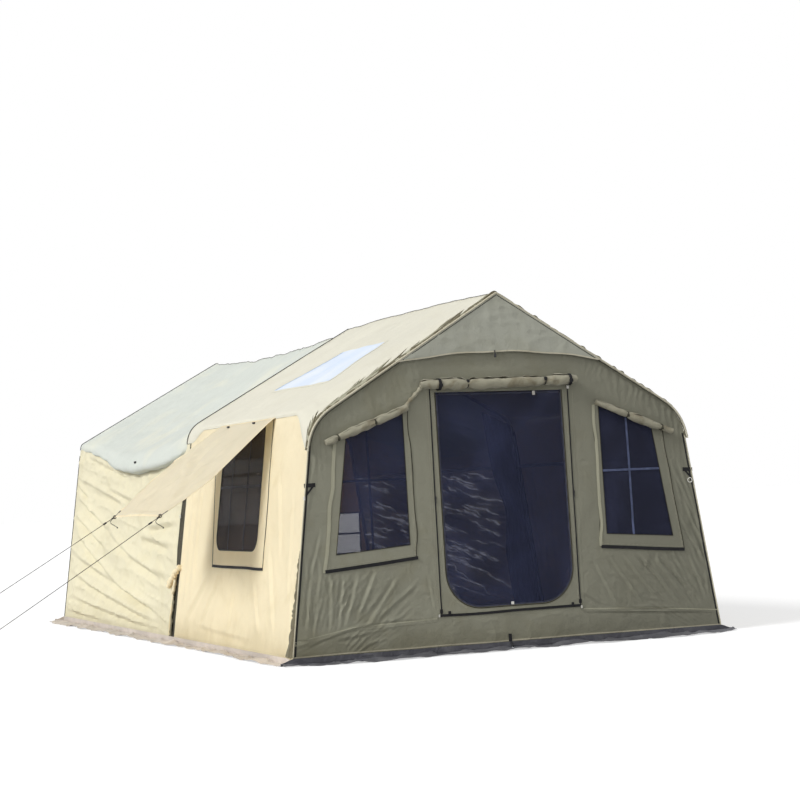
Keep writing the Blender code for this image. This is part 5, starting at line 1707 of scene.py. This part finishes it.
# Folds of the rear and the front room's walls: points as (distance back, height), half width and height
REAR_FOLDS = [
    ([(7.356, 1.539), (5.239, 1.226)], 0.050, 0.018),
    ([(7.100, 1.780), (4.712, 1.460)], 0.050, 0.016),
    ([(7.351, 1.339), (5.737, 0.962)], 0.048, 0.018),
    ([(7.433, 1.158), (5.878, 0.793)], 0.046, 0.018),
    ([(7.400, 1.010), (5.283, 0.472), (3.408, 0.239)], 0.048, 0.018),
    ([(5.957, 0.996), (4.800, 0.724), (3.345, 0.537)], 0.052, 0.019),
    ([(7.400, 0.745), (5.200, 0.425), (3.383, 0.166)], 0.046, 0.017),
    ([(4.623, 0.917), (3.335, 0.834)], 0.046, 0.015),
    ([(7.400, 0.550), (5.346, 0.290), (3.369, 0.123)], 0.040, 0.015),
    ([(7.400, 0.290), (5.362, 0.159), (3.354, 0.079)], 0.032, 0.012),
    ([(7.394, 0.129), (5.391, 0.059)], 0.026, 0.010),
    ([(7.413, 1.485), (6.804, 1.313)], 0.030, 0.012),
    ([(4.409, 0.997), (3.301, 1.057)], 0.040, 0.013),
    ([(4.300, 1.330), (3.330, 1.420)], 0.040, 0.012),
    ([(6.100, 1.420), (4.600, 1.230)], 0.040, 0.012),
]
SIDE_FOLDS = [
    ([(3.05, 1.70), (3.02, 0.30)], 0.040, 0.012),
    ([(2.86, 1.62), (2.88, 0.20)], 0.038, 0.010),
    ([(2.66, 1.50), (2.72, 0.35)], 0.032, 0.008),
    ([(2.25, 0.62), (2.85, 0.20)], 0.030, 0.009),
    ([(1.95, 0.62), (2.45, 0.14)], 0.028, 0.008),
    ([(1.50, 0.64), (1.62, 0.12)], 0.028, 0.007),
    ([(1.05, 0.63), (0.80, 0.14)], 0.028, 0.008),
    ([(0.72, 0.90), (0.45, 0.16)], 0.030, 0.009),
    ([(0.60, 1.50), (0.42, 0.70)], 0.026, 0.008),
    ([(0.22, 1.30), (0.18, 0.40)], 0.022, 0.008),
    ([(0.12, 0.90), (0.10, 0.15)], 0.018, 0.006),
    ([(2.60, 0.18), (0.90, 0.12)], 0.020, 0.007),
]

CORNER_GUSSET = [
    (0.001, 0.840), (0.016, 0.720), (0.012, 0.640), (0.034, 0.560), (0.028, 0.480), (0.052, 0.400),
    (0.050, 0.320), (0.080, 0.240), (0.088, 0.170), (0.120, 0.110), (0.132, 0.056), (0.001, 0.056),
]
SLIT_EDGE = [
    (3.250, 0.120), (3.268, 0.250), (3.266, 0.400), (3.236, 0.541), (3.262, 0.672), (3.290, 0.820),
    (3.284, 0.968), (3.286, 1.116), (3.262, 1.250), (3.216, 1.360), (3.184, 1.500), (3.178, 1.700),
]


def front_room_outline():
    backs = [0.0, 0.05, 0.10, 0.15, 0.20, 0.25, 0.30, 1.0, 2.6, *np.linspace(2.7, FRONT_ROOM - SLIT_FRONT, 9)]
    top = [(b, skirt_height(b, False) - 0.0008) for b in backs]
    return np.array([(0.0, HEM), *top, (FRONT_ROOM - SLIT_FRONT, HEM)])


def rear_room_outline():
    start = FRONT_ROOM + SLIT_REAR
    drop = 0.0024
    high = skirt_height(ROOF_SEAM, False) - drop
    seam = ROOF_SEAM - 0.0004
    top = [(start, high), (seam, high), (seam, skirt_height(ROOF_SEAM, True) - drop)]
    top += [(b, skirt_height(b, True) - drop) for b in np.linspace(ROOF_SEAM + 0.03, LENGTH - 0.0004, 40)]
    return np.array([(start + 0.068, HEM), *SLIT_EDGE, *top, (LENGTH - 0.0004, HEM)])


FRONT_ROOM_OUTLINE, REAR_ROOM_OUTLINE = front_room_outline(), rear_room_outline()


def front_room_cloth(side):
    seed = 90 if side < 0 else 95

    def relief(back, z):
        height = 0.005 * crumple(back, z * 0.6, 0.55, seed) + 0.0016 * crumple(back, z, 0.15, seed + 1)
        height = height + 0.0024 * creases(back * 0.8 + 0.3 * z, z * 0.5, 0.30, seed + 2)
        height = height + folds(back, z, SIDE_FOLDS)
        return np.maximum(height * patch_mask(back, z, SIDE_BORDER), -rail_clearance(z))

    return Cloth(side_base(side), relief, FRONT_ROOM_OUTLINE, 0.006, 0.04)


def rear_room_cloth(side):
    seed = 100 if side < 0 else 106

    def relief(back, z):
        height = 0.007 * crumple(back * 0.6, z, 0.50, seed) + 0.0025 * crumple(back, z, 0.16, seed + 1)
        slant = z - 0.13 * (back - FRONT_ROOM) - 0.05 * np.sin((back - FRONT_ROOM) * 1.1)
        height = height + 0.015 * creases(back * 0.16, slant, 0.105, seed + 2)
        height = height + 0.009 * creases(back * 0.30, slant, 0.055, seed + 3)
        under = ease((0.40 - (np.interp(back, REAR_TOP[:, 0], REAR_TOP[:, 1]) - z)) / 0.4)
        height = height + 0.006 * under * np.sin(back * 26 + 3 * noise(back, z, 0.3, seed + 4))
        return np.maximum(height + 1.75 * folds(back, z, REAR_FOLDS, 0.66), -rail_clearance(z))

    return Cloth(side_base(side), relief, REAR_ROOM_OUTLINE, 0.006, 0.06)


# The points of the rear wall's outline that follow the roof's hem, from the roof seam back
REAR_TOP = REAR_ROOM_OUTLINE[len(SLIT_EDGE) + 3:-1]
STREAK_COUNT = 110


def make_light_streaks(cloth):
    """Light that comes in through thin places of a wall, as lens-shaped strips on its inner face."""
    rng = np.random.default_rng(29)
    streaks = Pile()
    s = np.linspace(-1, 1, 13)
    for _ in range(STREAK_COUNT):
        back, z = rng.uniform(3.9, 7.2), rng.uniform(0.20, 1.40)
        half, radius = rng.uniform(0.10, 0.40), rng.uniform(0.003, 0.012)
        rise = half * s * rng.uniform(0.05, 0.25)
        path = np.stack([back + half * s, z + rise + 0.006 * np.sin(5 * s + z * 9)], 1)
        size = radius * np.sqrt(np.maximum(1 - s * s, 0.02))
        streaks.tube(cloth.at(path, -0.006 - radius), size, sides=6)
    streaks.piece("rear_wall_light_streaks", lit_cloth, slot="cream_canvas")


def make_slit_tie(side, label, far):
    """The knotted cloth tie across the slit: a bulging band, its hanging end and a thin tail."""
    ties = Pile()
    crossing = np.array([(b, 0.585 - 0.62 * (b - 3.19)) for b in np.linspace(3.06, 3.35, 30)])
    bow = 0.016 * np.sin(np.linspace(0, math.pi, 30))[:, None]
    centre = far.at(crossing, 0.022) + bow * np.array([side, 0, 0])
    count = np.arange(30)
    ties.tube(centre, 0.021 + 0.008 * np.sin(count * 1.1) + 0.004 * np.sin(count * 2.7), sides=12)
    hang = walk([(3.222, 0.60), (3.200, 0.52), (3.228, 0.42)], 0.012)
    ties.tube(far.at(hang, 0.016), 0.012 + 0.005 * np.abs(np.sin(np.arange(len(hang)) * 0.6)), sides=10)
    tail = walk([(3.262, 0.50), (3.252, 0.36), (3.270, 0.22), (3.262, 0.06)], 0.02)
    ties.tube(far.at(tail, 0.010), 0.010 + 0.004 * np.abs(np.sin(np.arange(len(tail)) * 0.8)))
    ties.piece(f"slit_tie_{label}", cream, slot="cream_canvas")


def make_side(side, label):
    near, far = front_room_cloth(side), rear_room_cloth(side)
    border, _ = panel(
        f"side_window_border_{label}", near, SIDE_BORDER, [side_window(-0.002)], 0.020, cream, thick=PATCH,
        out=ON_TAPE, slot="cream_canvas",
    )

    def wrinkles(u, v):
        return 0.011 * np.abs(np.sin(v * 30 + u * 24 + 4 * noise(u, v, 0.1, 175))) * ease(u / 0.02)

    wrinkled = Cloth(side_base(side), wrinkles)
    gusset, _ = panel(
        f"corner_gusset_{label}", wrinkled, CORNER_GUSSET, [], 0.009, shaded_gathered_canvas, thick=PATCH,
        out=ON_PATCH, slot="olive_canvas",
    )
    sheet_panel(
        f"front_room_wall_{label}", near, FRONT_ROOM_OUTLINE, [side_window(0.0)], 0.018,
        cream if side < 0 else cream_shaded, "hung", [f"front_leg_{label}", f"middle_leg_{label}"],
        trims=[border, gusset], slot="cream_canvas",
    )
    sheet_panel(
        f"rear_room_wall_{label}", far, REAR_ROOM_OUTLINE, [], 0.020, cream_rear, "hung",
        [f"middle_leg_{label}", f"rear_leg_{label}"], slot="cream_canvas",
    )
    if side > 0:
        make_light_streaks(far)
    outline = side_window(-DOOR_GAP)
    mesh = net_cloth(side_base(side), outline, 110 + side)
    sheet_panel(
        f"side_window_mesh_{label}", mesh, outline, [], 0.028, side_net, "stretched",
        [f"front_room_wall_{label}_cloth"], thick=NET, out=-0.0005, slot="insect_mesh",
    )
    black = Pile()
    for path, width, thick, sway in (
        (SIDE_BORDER[1:3], 0.022, 0.0036, wave(0.004, 0.3, 21)),
        (SIDE_BORDER[:2], 0.008, 0.0020, wave(0.006, 0.2, 22)),
        ([*SIDE_BORDER[2:4], (2.308, 1.80)], 0.008, 0.0020, wave(0.006, 0.2, 23)),
        (side_window(-0.008), 0.014, TAPE, None),
    ):
        black.ribbon(near, path, width, thick, ON_PATCH, sway=sway)
    back_edge = [(LENGTH - 0.008, z) for z in np.linspace(1.80, 0.05, 60)]
    black.cord(far, back_edge, 0.0040, -0.001)
    black.piece(f"side_wall_black_trim_{label}", black_tape, slot="webbing")
    cross = Pile()
    for back in (1.380, 1.790):
        cross.ribbon(mesh, [(back, 1.835), (back, 0.826)], 0.020, PATCH)
    cross.ribbon(mesh, [(1.024, 1.345), (2.116, 1.345)], 0.020, PATCH, ON_TAPE)
    cross.piece(f"side_window_webbing_{label}", shaded_tape, slot="webbing")

    # A dark flap inside the slit, its colour painted shade.
    lining = Pile()
    inner = Cloth(side_base(side), lambda u, v: 0.0006 * np.sin(v * 21 + u * 30) - 0.0006)
    slit = [(3.215, z) for z in np.linspace(0.045, 1.775, 60)]
    lining.ribbon(inner, slit, 0.190, 0.0010, -0.0036, columns=7)
    lining.piece(f"slit_lining_{label}", dark_canvas, slot="olive_canvas")
    ruffle = [(3.236, 0.56), (3.242, 0.30), (3.232, 0.05)]
    ruffle = Pile().ribbon(wrinkled, ruffle, 0.050, PATCH, 0.0030, columns=6, sway=wave(0.020, 0.09, 33))
    ruffle.piece(f"slit_ruffle_{label}", shaded_gathered_canvas, slot="olive_canvas")
    facing = Pile().ribbon(inner, REAR_TOP[4:], 0.090, 0.0010, -0.0052, columns=4)
    facing.piece(f"skirt_facing_{label}", cream_rear, slot="cream_canvas")

    lines = border_stitches(near, SIDE_BORDER)
    for cloth, back, top in ((near, 0.020, 1.56), (near, 3.128, 1.76)):
        lines.append(cloth.at([(back, z) for z in np.linspace(0.06, top, 90)], NEAR))
    for cloth, start, end, count in ((near, 0.02, 3.12, 150), (far, 3.20, 7.43, 200)):
        lines.append(cloth.at([(b, 0.060) for b in np.linspace(start, end, count)], NEAR))
    lines.append(far.at([(7.425, z) for z in np.linspace(0.06, 1.80, 90)], NEAR))
    beads(
        f"side_wall_stitches_{label}", lines, STITCH_STEP * 1.2, STITCH_SIZE, piping_white,
    )
    make_slit_tie(side, label, far)
    ring = Pile().tube(helix(far.at([(3.222, 1.110)], 0.006)[0], (side, 0.1, 0), 0.013, 0.002, 1, 14), 0.0035)
    ring.piece(f"slit_ring_{label}", white_plastic, slot="white_plastic")
    toggle = Pile().block(far.at([(3.215, 1.270)], 0.006)[0], (0.010, 0.030, 0.040))
    toggle.piece(f"wall_toggles_{label}", black_plastic, slot="black_plastic")


AWNING_FOLDS = [
    ([(0.05, 0.30), (0.30, 1.10)], 0.030, 0.008),
    ([(0.10, 0.15), (1.20, 1.10)], 0.045, 0.010),
    ([(0.20, 1.05), (1.30, 0.25)], 0.050, 0.009),
    ([(1.32, 0.20), (1.22, 1.05)], 0.030, 0.008),
    ([(0.40, 0.10), (0.62, 0.95)], 0.040, 0.007),
    ([(0.95, 0.10), (0.86, 0.95)], 0.040, 0.007),
    ([(0.15, 1.13), (1.25, 1.13)], 0.022, 0.006),
]


def make_awning():
    span = AWNING_END - AWNING_START
    t = np.linspace(0, 1, 15)
    hem = [(span * (1 - s), AWNING_LENGTH - 0.030 * math.sin(math.pi * s)) for s in t]
    near_edge = [(0.022 * math.sin(math.pi * s), AWNING_LENGTH * (1 - s)) for s in t[1:-1]]
    far_edge = [(span - 0.022 * math.sin(math.pi * s), AWNING_LENGTH * s) for s in t[1:-1]]
    outline = [(0.0, 0.0), (span, 0.0)] + far_edge + hem + near_edge

    def relief(along, away):
        a, w = along / span, away / AWNING_LENGTH
        belly = np.sin(math.pi * np.clip(w, 0, 1))
        height = belly * lerp(-0.046, 0.034, ease(a)) - 0.022 * np.sin(math.pi * np.clip(a, 0, 1)) * w * w
        height = height + 0.004 * crumple(along, away, 0.30, 121) * belly
        pulls = 1.4 * folds(along, away, AWNING_FOLDS)
        pulls = pulls + fan(along, away, (span / 2, 4.2), 2.9, 4.3, 2.8, 3.6, 0.028, 0.0065, 124)
        height = height + pulls + 0.002 * creases(along + away, away, 0.25, 123) * belly
        lowest = 0.0045 * ease(away / 0.02) - np.maximum(0.85 * AWNING_CLEARANCE * away - 0.006, 0)
        return np.maximum(height, lowest)

    cloth = Cloth(awning_base, relief)
    edge = np.array(outline)
    inwards = unit(np.array([span / 2, AWNING_LENGTH / 2]) - edge)
    trim = Pile().ribbon(cloth, edge + inwards * 0.012, 0.022, 0.0010, THIN, closed=True)
    trim = trim.piece("awning_hem", cream, "awning", "cream_canvas")
    sheet_panel(
        "awning_flap", cloth, outline, [], 0.020, awning_canvas, "stretched",
        ["front_room_wall_left_cloth"], body="awning", thick=PATCH, out=0.0010, slot="cream_canvas",
        trims=[trim],
    )
    stitched = walk(edge + inwards * 0.020, 0.02, closed=True)
    beads(
        "awning_stitches", [cloth.at(stitched, ON_PATCH)], STITCH_STEP, STITCH_SIZE, piping_white, "awning",
    )
    dark = Pile()
    for along in (ROPE_PAST_HEM, span - ROPE_PAST_HEM):
        patch = [(along, AWNING_LENGTH - 0.075), (along, AWNING_LENGTH - 0.004)]
        dark.ribbon(cloth, patch, 0.030, 0.0018, ON_TAPE)
        ring = helix(cloth.at(patch[1:], 0.002)[0], (0, 1, 0), 0.013, 0.004, 1, 16)
        dark.tube(ring, 0.0028)
    for along in (1.090, 0.415):
        dark.block(cloth.at([(along, 0.050)], 0.009)[0], (0.016, 0.040, 0.016))
    dark.piece("awning_corner_hooks", black_metal, "awning", "black_metal")


def make_side_roll():
    level = SIDE_TOP - SIDE_ROLL_RADIUS + SIDE_ROLL_RISE
    points, away = side_base(1)(np.array([AWNING_START, AWNING_END]), np.array([level, level]))
    start, end = points + away * (SIDE_ROLL_RADIUS + 0.0030)
    rolled_flap(
        "side_window_roll_right", start, end, SIDE_ROLL_RADIUS, ROLL_TIES, 6.5, (-1, 0, 0), cream,
        131,
    )
    roll_straps("side_roll_straps_right", start, end, SIDE_ROLL_RADIUS)


def make_divider(side, label):
    """The curtain between the two rooms, drawn back to the middle leg on each side, in very dark olive:
    painted shade of the inside.
    """
    columns, rows = np.linspace(0, 1, 60), np.linspace(0, 1, 40)
    z = lerp(0.06, 1.84 + 0.13 * columns[None, :], rows[:, None])
    drawn = lerp(0.27, 0.20, np.exp(-(((z - 1.0) / 0.25) ** 2)))
    x = wall_x(z) - DIVIDER_INSET - drawn * columns
    fold_depth = 0.016 * np.sin(columns * 38 + 1.5 * noise(columns * 2 + z, z, 0.5, 181))
    points = np.stack([side * x, Y_FRONT + FRONT_ROOM - 0.060 + fold_depth, z], 2)
    uv = np.stack([columns * 0.5 * np.ones_like(z), z], 2)
    piece = grid_piece(
        f"room_divider_{label}", points, points + [0, CLOTH, 0], uv, dark_canvas
    )


for side, label in SIDES:
    make_side(side, label)
for side, label in SIDES:
    make_divider(side, label)
make_awning()
make_side_roll()


# Back wall

BACK_OUTLINE = arch_line(REAR_EAVE, REAR_ROUNDING, REAR_PEAK, 0.0034, HEM)


def back_frame(lap):
    half, low, high = BACK_HALF + lap, BACK_FOOT - lap, BACK_TOP + lap
    return [(-half, low), (half, low), (half, high), (-half, high)]


def back_vent(side, lap=0.0):
    """One of the two low mesh vents beside the rear corners."""
    low, high = BACK_VENT_FOOT - lap, BACK_VENT_TOP + lap
    near, far = side * (BACK_VENT_NEAR - lap), side * (BACK_VENT_FAR + lap)
    return [(near, low), (far, low), (far, high), (near, high)]


BACK_BORDER = [(-0.70, 0.86), (0.70, 0.86), (0.70, 1.78), (-0.70, 1.78)]


def make_back_wall():
    def relief(x, z):
        height = 0.006 * crumple(x, z * 0.6, 0.60, 141) + 0.002 * crumple(x, z, 0.17, 142)
        height = height + 0.005 * creases(x + 0.3 * z, z * 0.5, 0.34, 143)
        hang = np.sin(x * 17 + 3 * noise(x, z, 0.5, 144)) * 0.006 * ease((1.0 - z) / 0.8)
        return (height + hang) * patch_mask(x, z, BACK_BORDER)

    cloth = Cloth(back_base, relief, BACK_OUTLINE, 0.006, 0.05)
    border, _ = panel(
        "back_window_border", cloth, BACK_BORDER, [back_frame(-0.002)], 0.022, cream, thick=PATCH,
        out=ON_TAPE, slot="cream_canvas",
    )
    sheet_panel(
        "back_wall", cloth, BACK_OUTLINE, [back_frame(0.0), back_vent(-1), back_vent(1)], 0.022, cream,
        "hung", ["rear_leg_left", "rear_leg_right"], trims=[border], slot="cream_canvas",
    )
    outline = back_frame(WINDOW_LAP)
    mesh = net_cloth(back_base, outline, 151)
    sheet_panel(
        "back_window_mesh", mesh, outline, [], 0.030, net, "stretched", ["back_wall_cloth"], thick=NET,
        out=BEHIND, slot="insect_mesh",
    )
    black = Pile()
    for side, label in SIDES:
        sheet_panel(
            f"back_vent_mesh_{label}", cloth, back_vent(side, WINDOW_LAP), [], 0.028, vent_net, "stretched",
            ["back_wall_cloth"], thick=NET, out=BEHIND, slot="insect_mesh", replaces=(),
        )
        black.ribbon(cloth, back_vent(side, 0.004), 0.016, closed=True)
        black.ribbon(cloth, both(side, [(BACK_VENT_NEAR, 0.785), (BACK_VENT_FAR, 0.785)]), 0.020)
    black.ribbon(cloth, BACK_BORDER[:2], 0.024, 0.0036, ON_PATCH)
    for side, _ in SIDES:
        upright = both(side, [(0.70, 0.86), (0.70, 1.76)])
        black.ribbon(cloth, upright, 0.009, 0.0020, ON_PATCH, sway=wave(0.006, 0.2, 31))
    black.ribbon(cloth, back_frame(-0.006), 0.012, TAPE, ON_PATCH, closed=True)
    black.piece("back_window_bars", black_tape, slot="webbing")
    cross = Pile()
    cross.ribbon(mesh, [(0.0, 0.942), (0.0, 1.70)], 0.020, PATCH, -0.0030)
    cross.ribbon(mesh, [(-0.60, 1.32), (0.60, 1.32)], 0.020, PATCH, -0.0014)
    cross.piece("back_window_webbing", blue_tape, slot="webbing")
    start = np.array([BACK_HALF + BACK_OVERHANG, Y_REAR + BACK_ROLL + 0.0030, BACK_TOP + BACK_ROLL])
    end = start * [-1, 1, 1]
    rolled_flap(
        "back_window_roll", start, end, BACK_ROLL, ROLL_TIES, 5.5, (0, -1, 0), cream,
        161,
    )
    roll_straps("back_roll_straps", start, end, BACK_ROLL)
    lines = border_stitches(cloth, BACK_BORDER)
    lines.append(cloth.at([(x, 0.060) for x in np.linspace(-1.83, 1.83, 160)], NEAR))
    beads(
        "back_wall_stitches", lines, STITCH_STEP * 1.2, STITCH_SIZE, piping_white
    )


make_back_wall()


# Ground


def mud_flap(name, start, end, out, finish, seed, reach, widths=(1, 1, 1), near_end=0.4):
    """The strip along a hem: a low band up the wall, and a skirt that lies creased on the ground."""
    start, end, out = (np.array(p, float) for p in (start, end, out))
    length = np.linalg.norm(end - start)
    rows = int(length / 0.022)
    across = np.concatenate([np.linspace(-FLAP_RISE, -0.006, 5), np.linspace(0.0, 1.0, 14) * reach])
    along = np.repeat(np.linspace(0, length, rows)[:, None], len(across), 1)
    w = np.repeat(across[None, :], rows, 0)
    lying = np.clip(w / reach, 0, 1)
    from_end = np.minimum(along, length - along)
    ends = lerp(near_end, 1.0, ease(from_end / 0.30))
    wide = np.interp(along[:, 0] / length, [0, 0.5, 1], widths)[:, None] * ends
    torn = 0.16 * crumple(along, along * 0, 0.30, seed) * lying
    ragged = wide * (1 + torn + 0.05 * noise(along, along * 0, 0.06, seed + 7))
    away = np.where(w < 0, 0.0021, 0.0021 + w * ragged)
    swell = 0.015 * (crumple(along, w * 0.7, 0.15, seed + 1) + 0.6)
    swell = swell + 0.018 * creases(along + w, w * 0.5, 0.13, seed + 2)
    height = np.maximum(swell, 0.0) * ease(lying / 0.25) * (1 - 0.45 * lying) + 0.0006
    height = np.where(w < 0, -w * lerp(near_end, 1.0, ease(from_end / 0.11)), height)
    run = unit(end - start)
    points = start + run * along[:, :, None] + out * away[:, :, None]
    points = points + np.array([0, 0, 1.0]) * height[:, :, None]
    normal = unit(np.cross(np.gradient(points, axis=0), np.gradient(points, axis=1)))
    if normal[:, -4, 2].sum() < 0:
        normal = -normal
    uv = np.stack([along, w], 2)
    piece = grid_piece(name + "_sheet", points + normal * CLOTH, points, uv, finish)
    flat = (reach * max(widths) + FLAP_RISE, length)
    area = flat[1] * (reach * float(np.mean(widths)) + FLAP_RISE)
    area = min(area, flat[0] * flat[1])
    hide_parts(name)


def make_groundsheet():
    half, low, high = 1.770, Y_FRONT + 0.004, Y_REAR - 0.004
    x, y = np.meshgrid(np.linspace(-half, half, 90), np.linspace(low, high, 170), indexing="ij")
    edge = ease((half - np.abs(x)) / 0.2) * ease((np.minimum(y - low, high - y)) / 0.2)
    z = 0.0024 + edge * np.maximum(0.005 * crumple(x, y, 0.55, 171) + 0.003, 0)
    top = np.stack([x, y, z], 2)
    uv = np.stack([x, y], 2)
    piece = grid_piece("groundsheet_cloth", top, top - [0, 0, 0.0020], uv, floor_sheet)
    2 * half
    high - low
    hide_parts("groundsheet")


make_groundsheet()
WIDE = wall_x(0) + FLAP_OVERHANG
mud_flap(
    "mud_flap_front", (-WIDE, Y_FRONT, 0), (WIDE, Y_FRONT, 0), (0, -1, 0), mud_grey, 181,
    0.215,
)
mud_flap(
    "mud_flap_rear", (WIDE, Y_REAR, 0), (-WIDE, Y_REAR, 0), (0, 1, 0), mud_pale, 185, 0.20
)
for side, label in SIDES:
    edge = side * wall_x(0)
    mud_flap(
        f"mud_flap_{label}", (edge, Y_FRONT, 0), (edge, Y_REAR, 0), (side, 0, 0), mud_pale,
        190 + side, 0.205, (0.55, 0.72, 1.05), 0.8,
    )


def make_peg_strap():
    x = -0.060
    strap = Pile().ribbon(flat_front, [(x, 0.110), (x, 0.052)], 0.026, 0.0024, 0.0040)
    loop = [(x, Y_FRONT - out, z) for out, z in ((0.008, 0.052), (0.024, 0.030), (0.040, 0.014))]
    strap.tube(loop, 0.008)
    strap.piece("front_peg_strap", black_tape, slot="webbing")


make_peg_strap()


# Parts that the model already has in their right shape


def finish_part(name, finish):
    for place in bpy.data.objects[name].material_slots:
        place.material = finish


STEEL_PARTS = ("_leg_", "_rafter_", "ridge_tube", "side_rail", "peak_joint", "guy_peg_", "peg_loop_ring")

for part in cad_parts:
    if any(word in part for word in STEEL_PARTS):
        finish_part(part, steel)
for part in ("guy_runner_near", "guy_runner_far"):
    finish_part(part, black_plastic)
for part in ("door_zip_slider_left", "door_zip_slider_right"):
    finish_part(part, black_metal)
finish_part("door_mesh_pull", white_plastic)


# Light, floor and background


def add_sun(name, direction, energy, spread, colour=(1, 1, 1)):
    """A far lamp that shines from a direction."""
    lamp = bpy.data.lights.new(name, "SUN")
    lamp.energy, lamp.angle, lamp.color = energy, math.radians(spread), colour
    holder = bpy.data.objects.new(name, lamp)
    holder.rotation_euler = Vector(direction).to_track_quat("Z", "Y").to_euler()
    bpy.context.scene.collection.objects.link(holder)


def add_world(light):
    world = bpy.data.worlds.new("studio")
    bpy.context.scene.world = world
    world.use_nodes = True
    tree = world.node_tree
    background = tree.nodes["Background"]
    rays = tree.nodes.new("ShaderNodeLightPath")
    total = None
    for name in ("Is Camera Ray", "Is Glossy Ray", "Is Transmission Ray"):
        if total is None:
            total = rays.outputs[name]
            continue
        larger = tree.nodes.new("ShaderNodeMath")
        larger.operation = "MAXIMUM"
        tree.links.new(total, larger.inputs[0])
        tree.links.new(rays.outputs[name], larger.inputs[1])
        total = larger.outputs[0]
    level = tree.nodes.new("ShaderNodeMapRange")
    tree.links.new(total, level.inputs["Value"])
    level.inputs["To Min"].default_value = light
    level.inputs["To Max"].default_value = 1.0
    tree.links.new(level.outputs[0], background.inputs["Strength"])
    background.inputs["Color"].default_value = (1, 1, 1, 1)


FLOOR_HALF, FLOOR_BELOW = 140.0, 0.0005


def add_floor(tone, glow):
    """A pale floor that keeps shadows, lifted towards white for the camera only."""
    mesh = bpy.data.meshes.new("floor")
    corners = [(x * FLOOR_HALF, y * FLOOR_HALF, 0) for x, y in ((-1, -1), (1, -1), (1, 1), (-1, 1))]
    mesh.from_pydata(corners, [], [(0, 1, 2, 3)])
    finish = Finish("pale floor", 0.95, Specular_IOR_Level=0.0)
    finish.colour((tone, tone, tone))
    tree = finish.tree
    rays = tree.nodes.new("ShaderNodeLightPath")
    seen = tree.nodes.new("ShaderNodeMath")
    seen.operation = "MULTIPLY"
    tree.links.new(rays.outputs["Is Camera Ray"], seen.inputs[0])
    seen.inputs[1].default_value = glow
    finish.shader.inputs["Emission Color"].default_value = (1, 1, 1, 1)
    tree.links.new(seen.outputs[0], finish.shader.inputs["Emission Strength"])
    mesh.materials.append(finish.material)
    floor = bpy.data.objects.new("floor", mesh)
    floor.location.z = -FLOOR_BELOW
    bpy.context.scene.collection.objects.link(floor)


add_world(0.50)
add_floor(0.55, 0.55)
add_sun("side_sun", (-0.80, -0.16, 0.58), 2.45, 20)
add_sun("front_fill", (-0.70, -0.62, 0.34), 0.30, 30)
bpy.context.scene.view_settings.view_transform = "Standard"
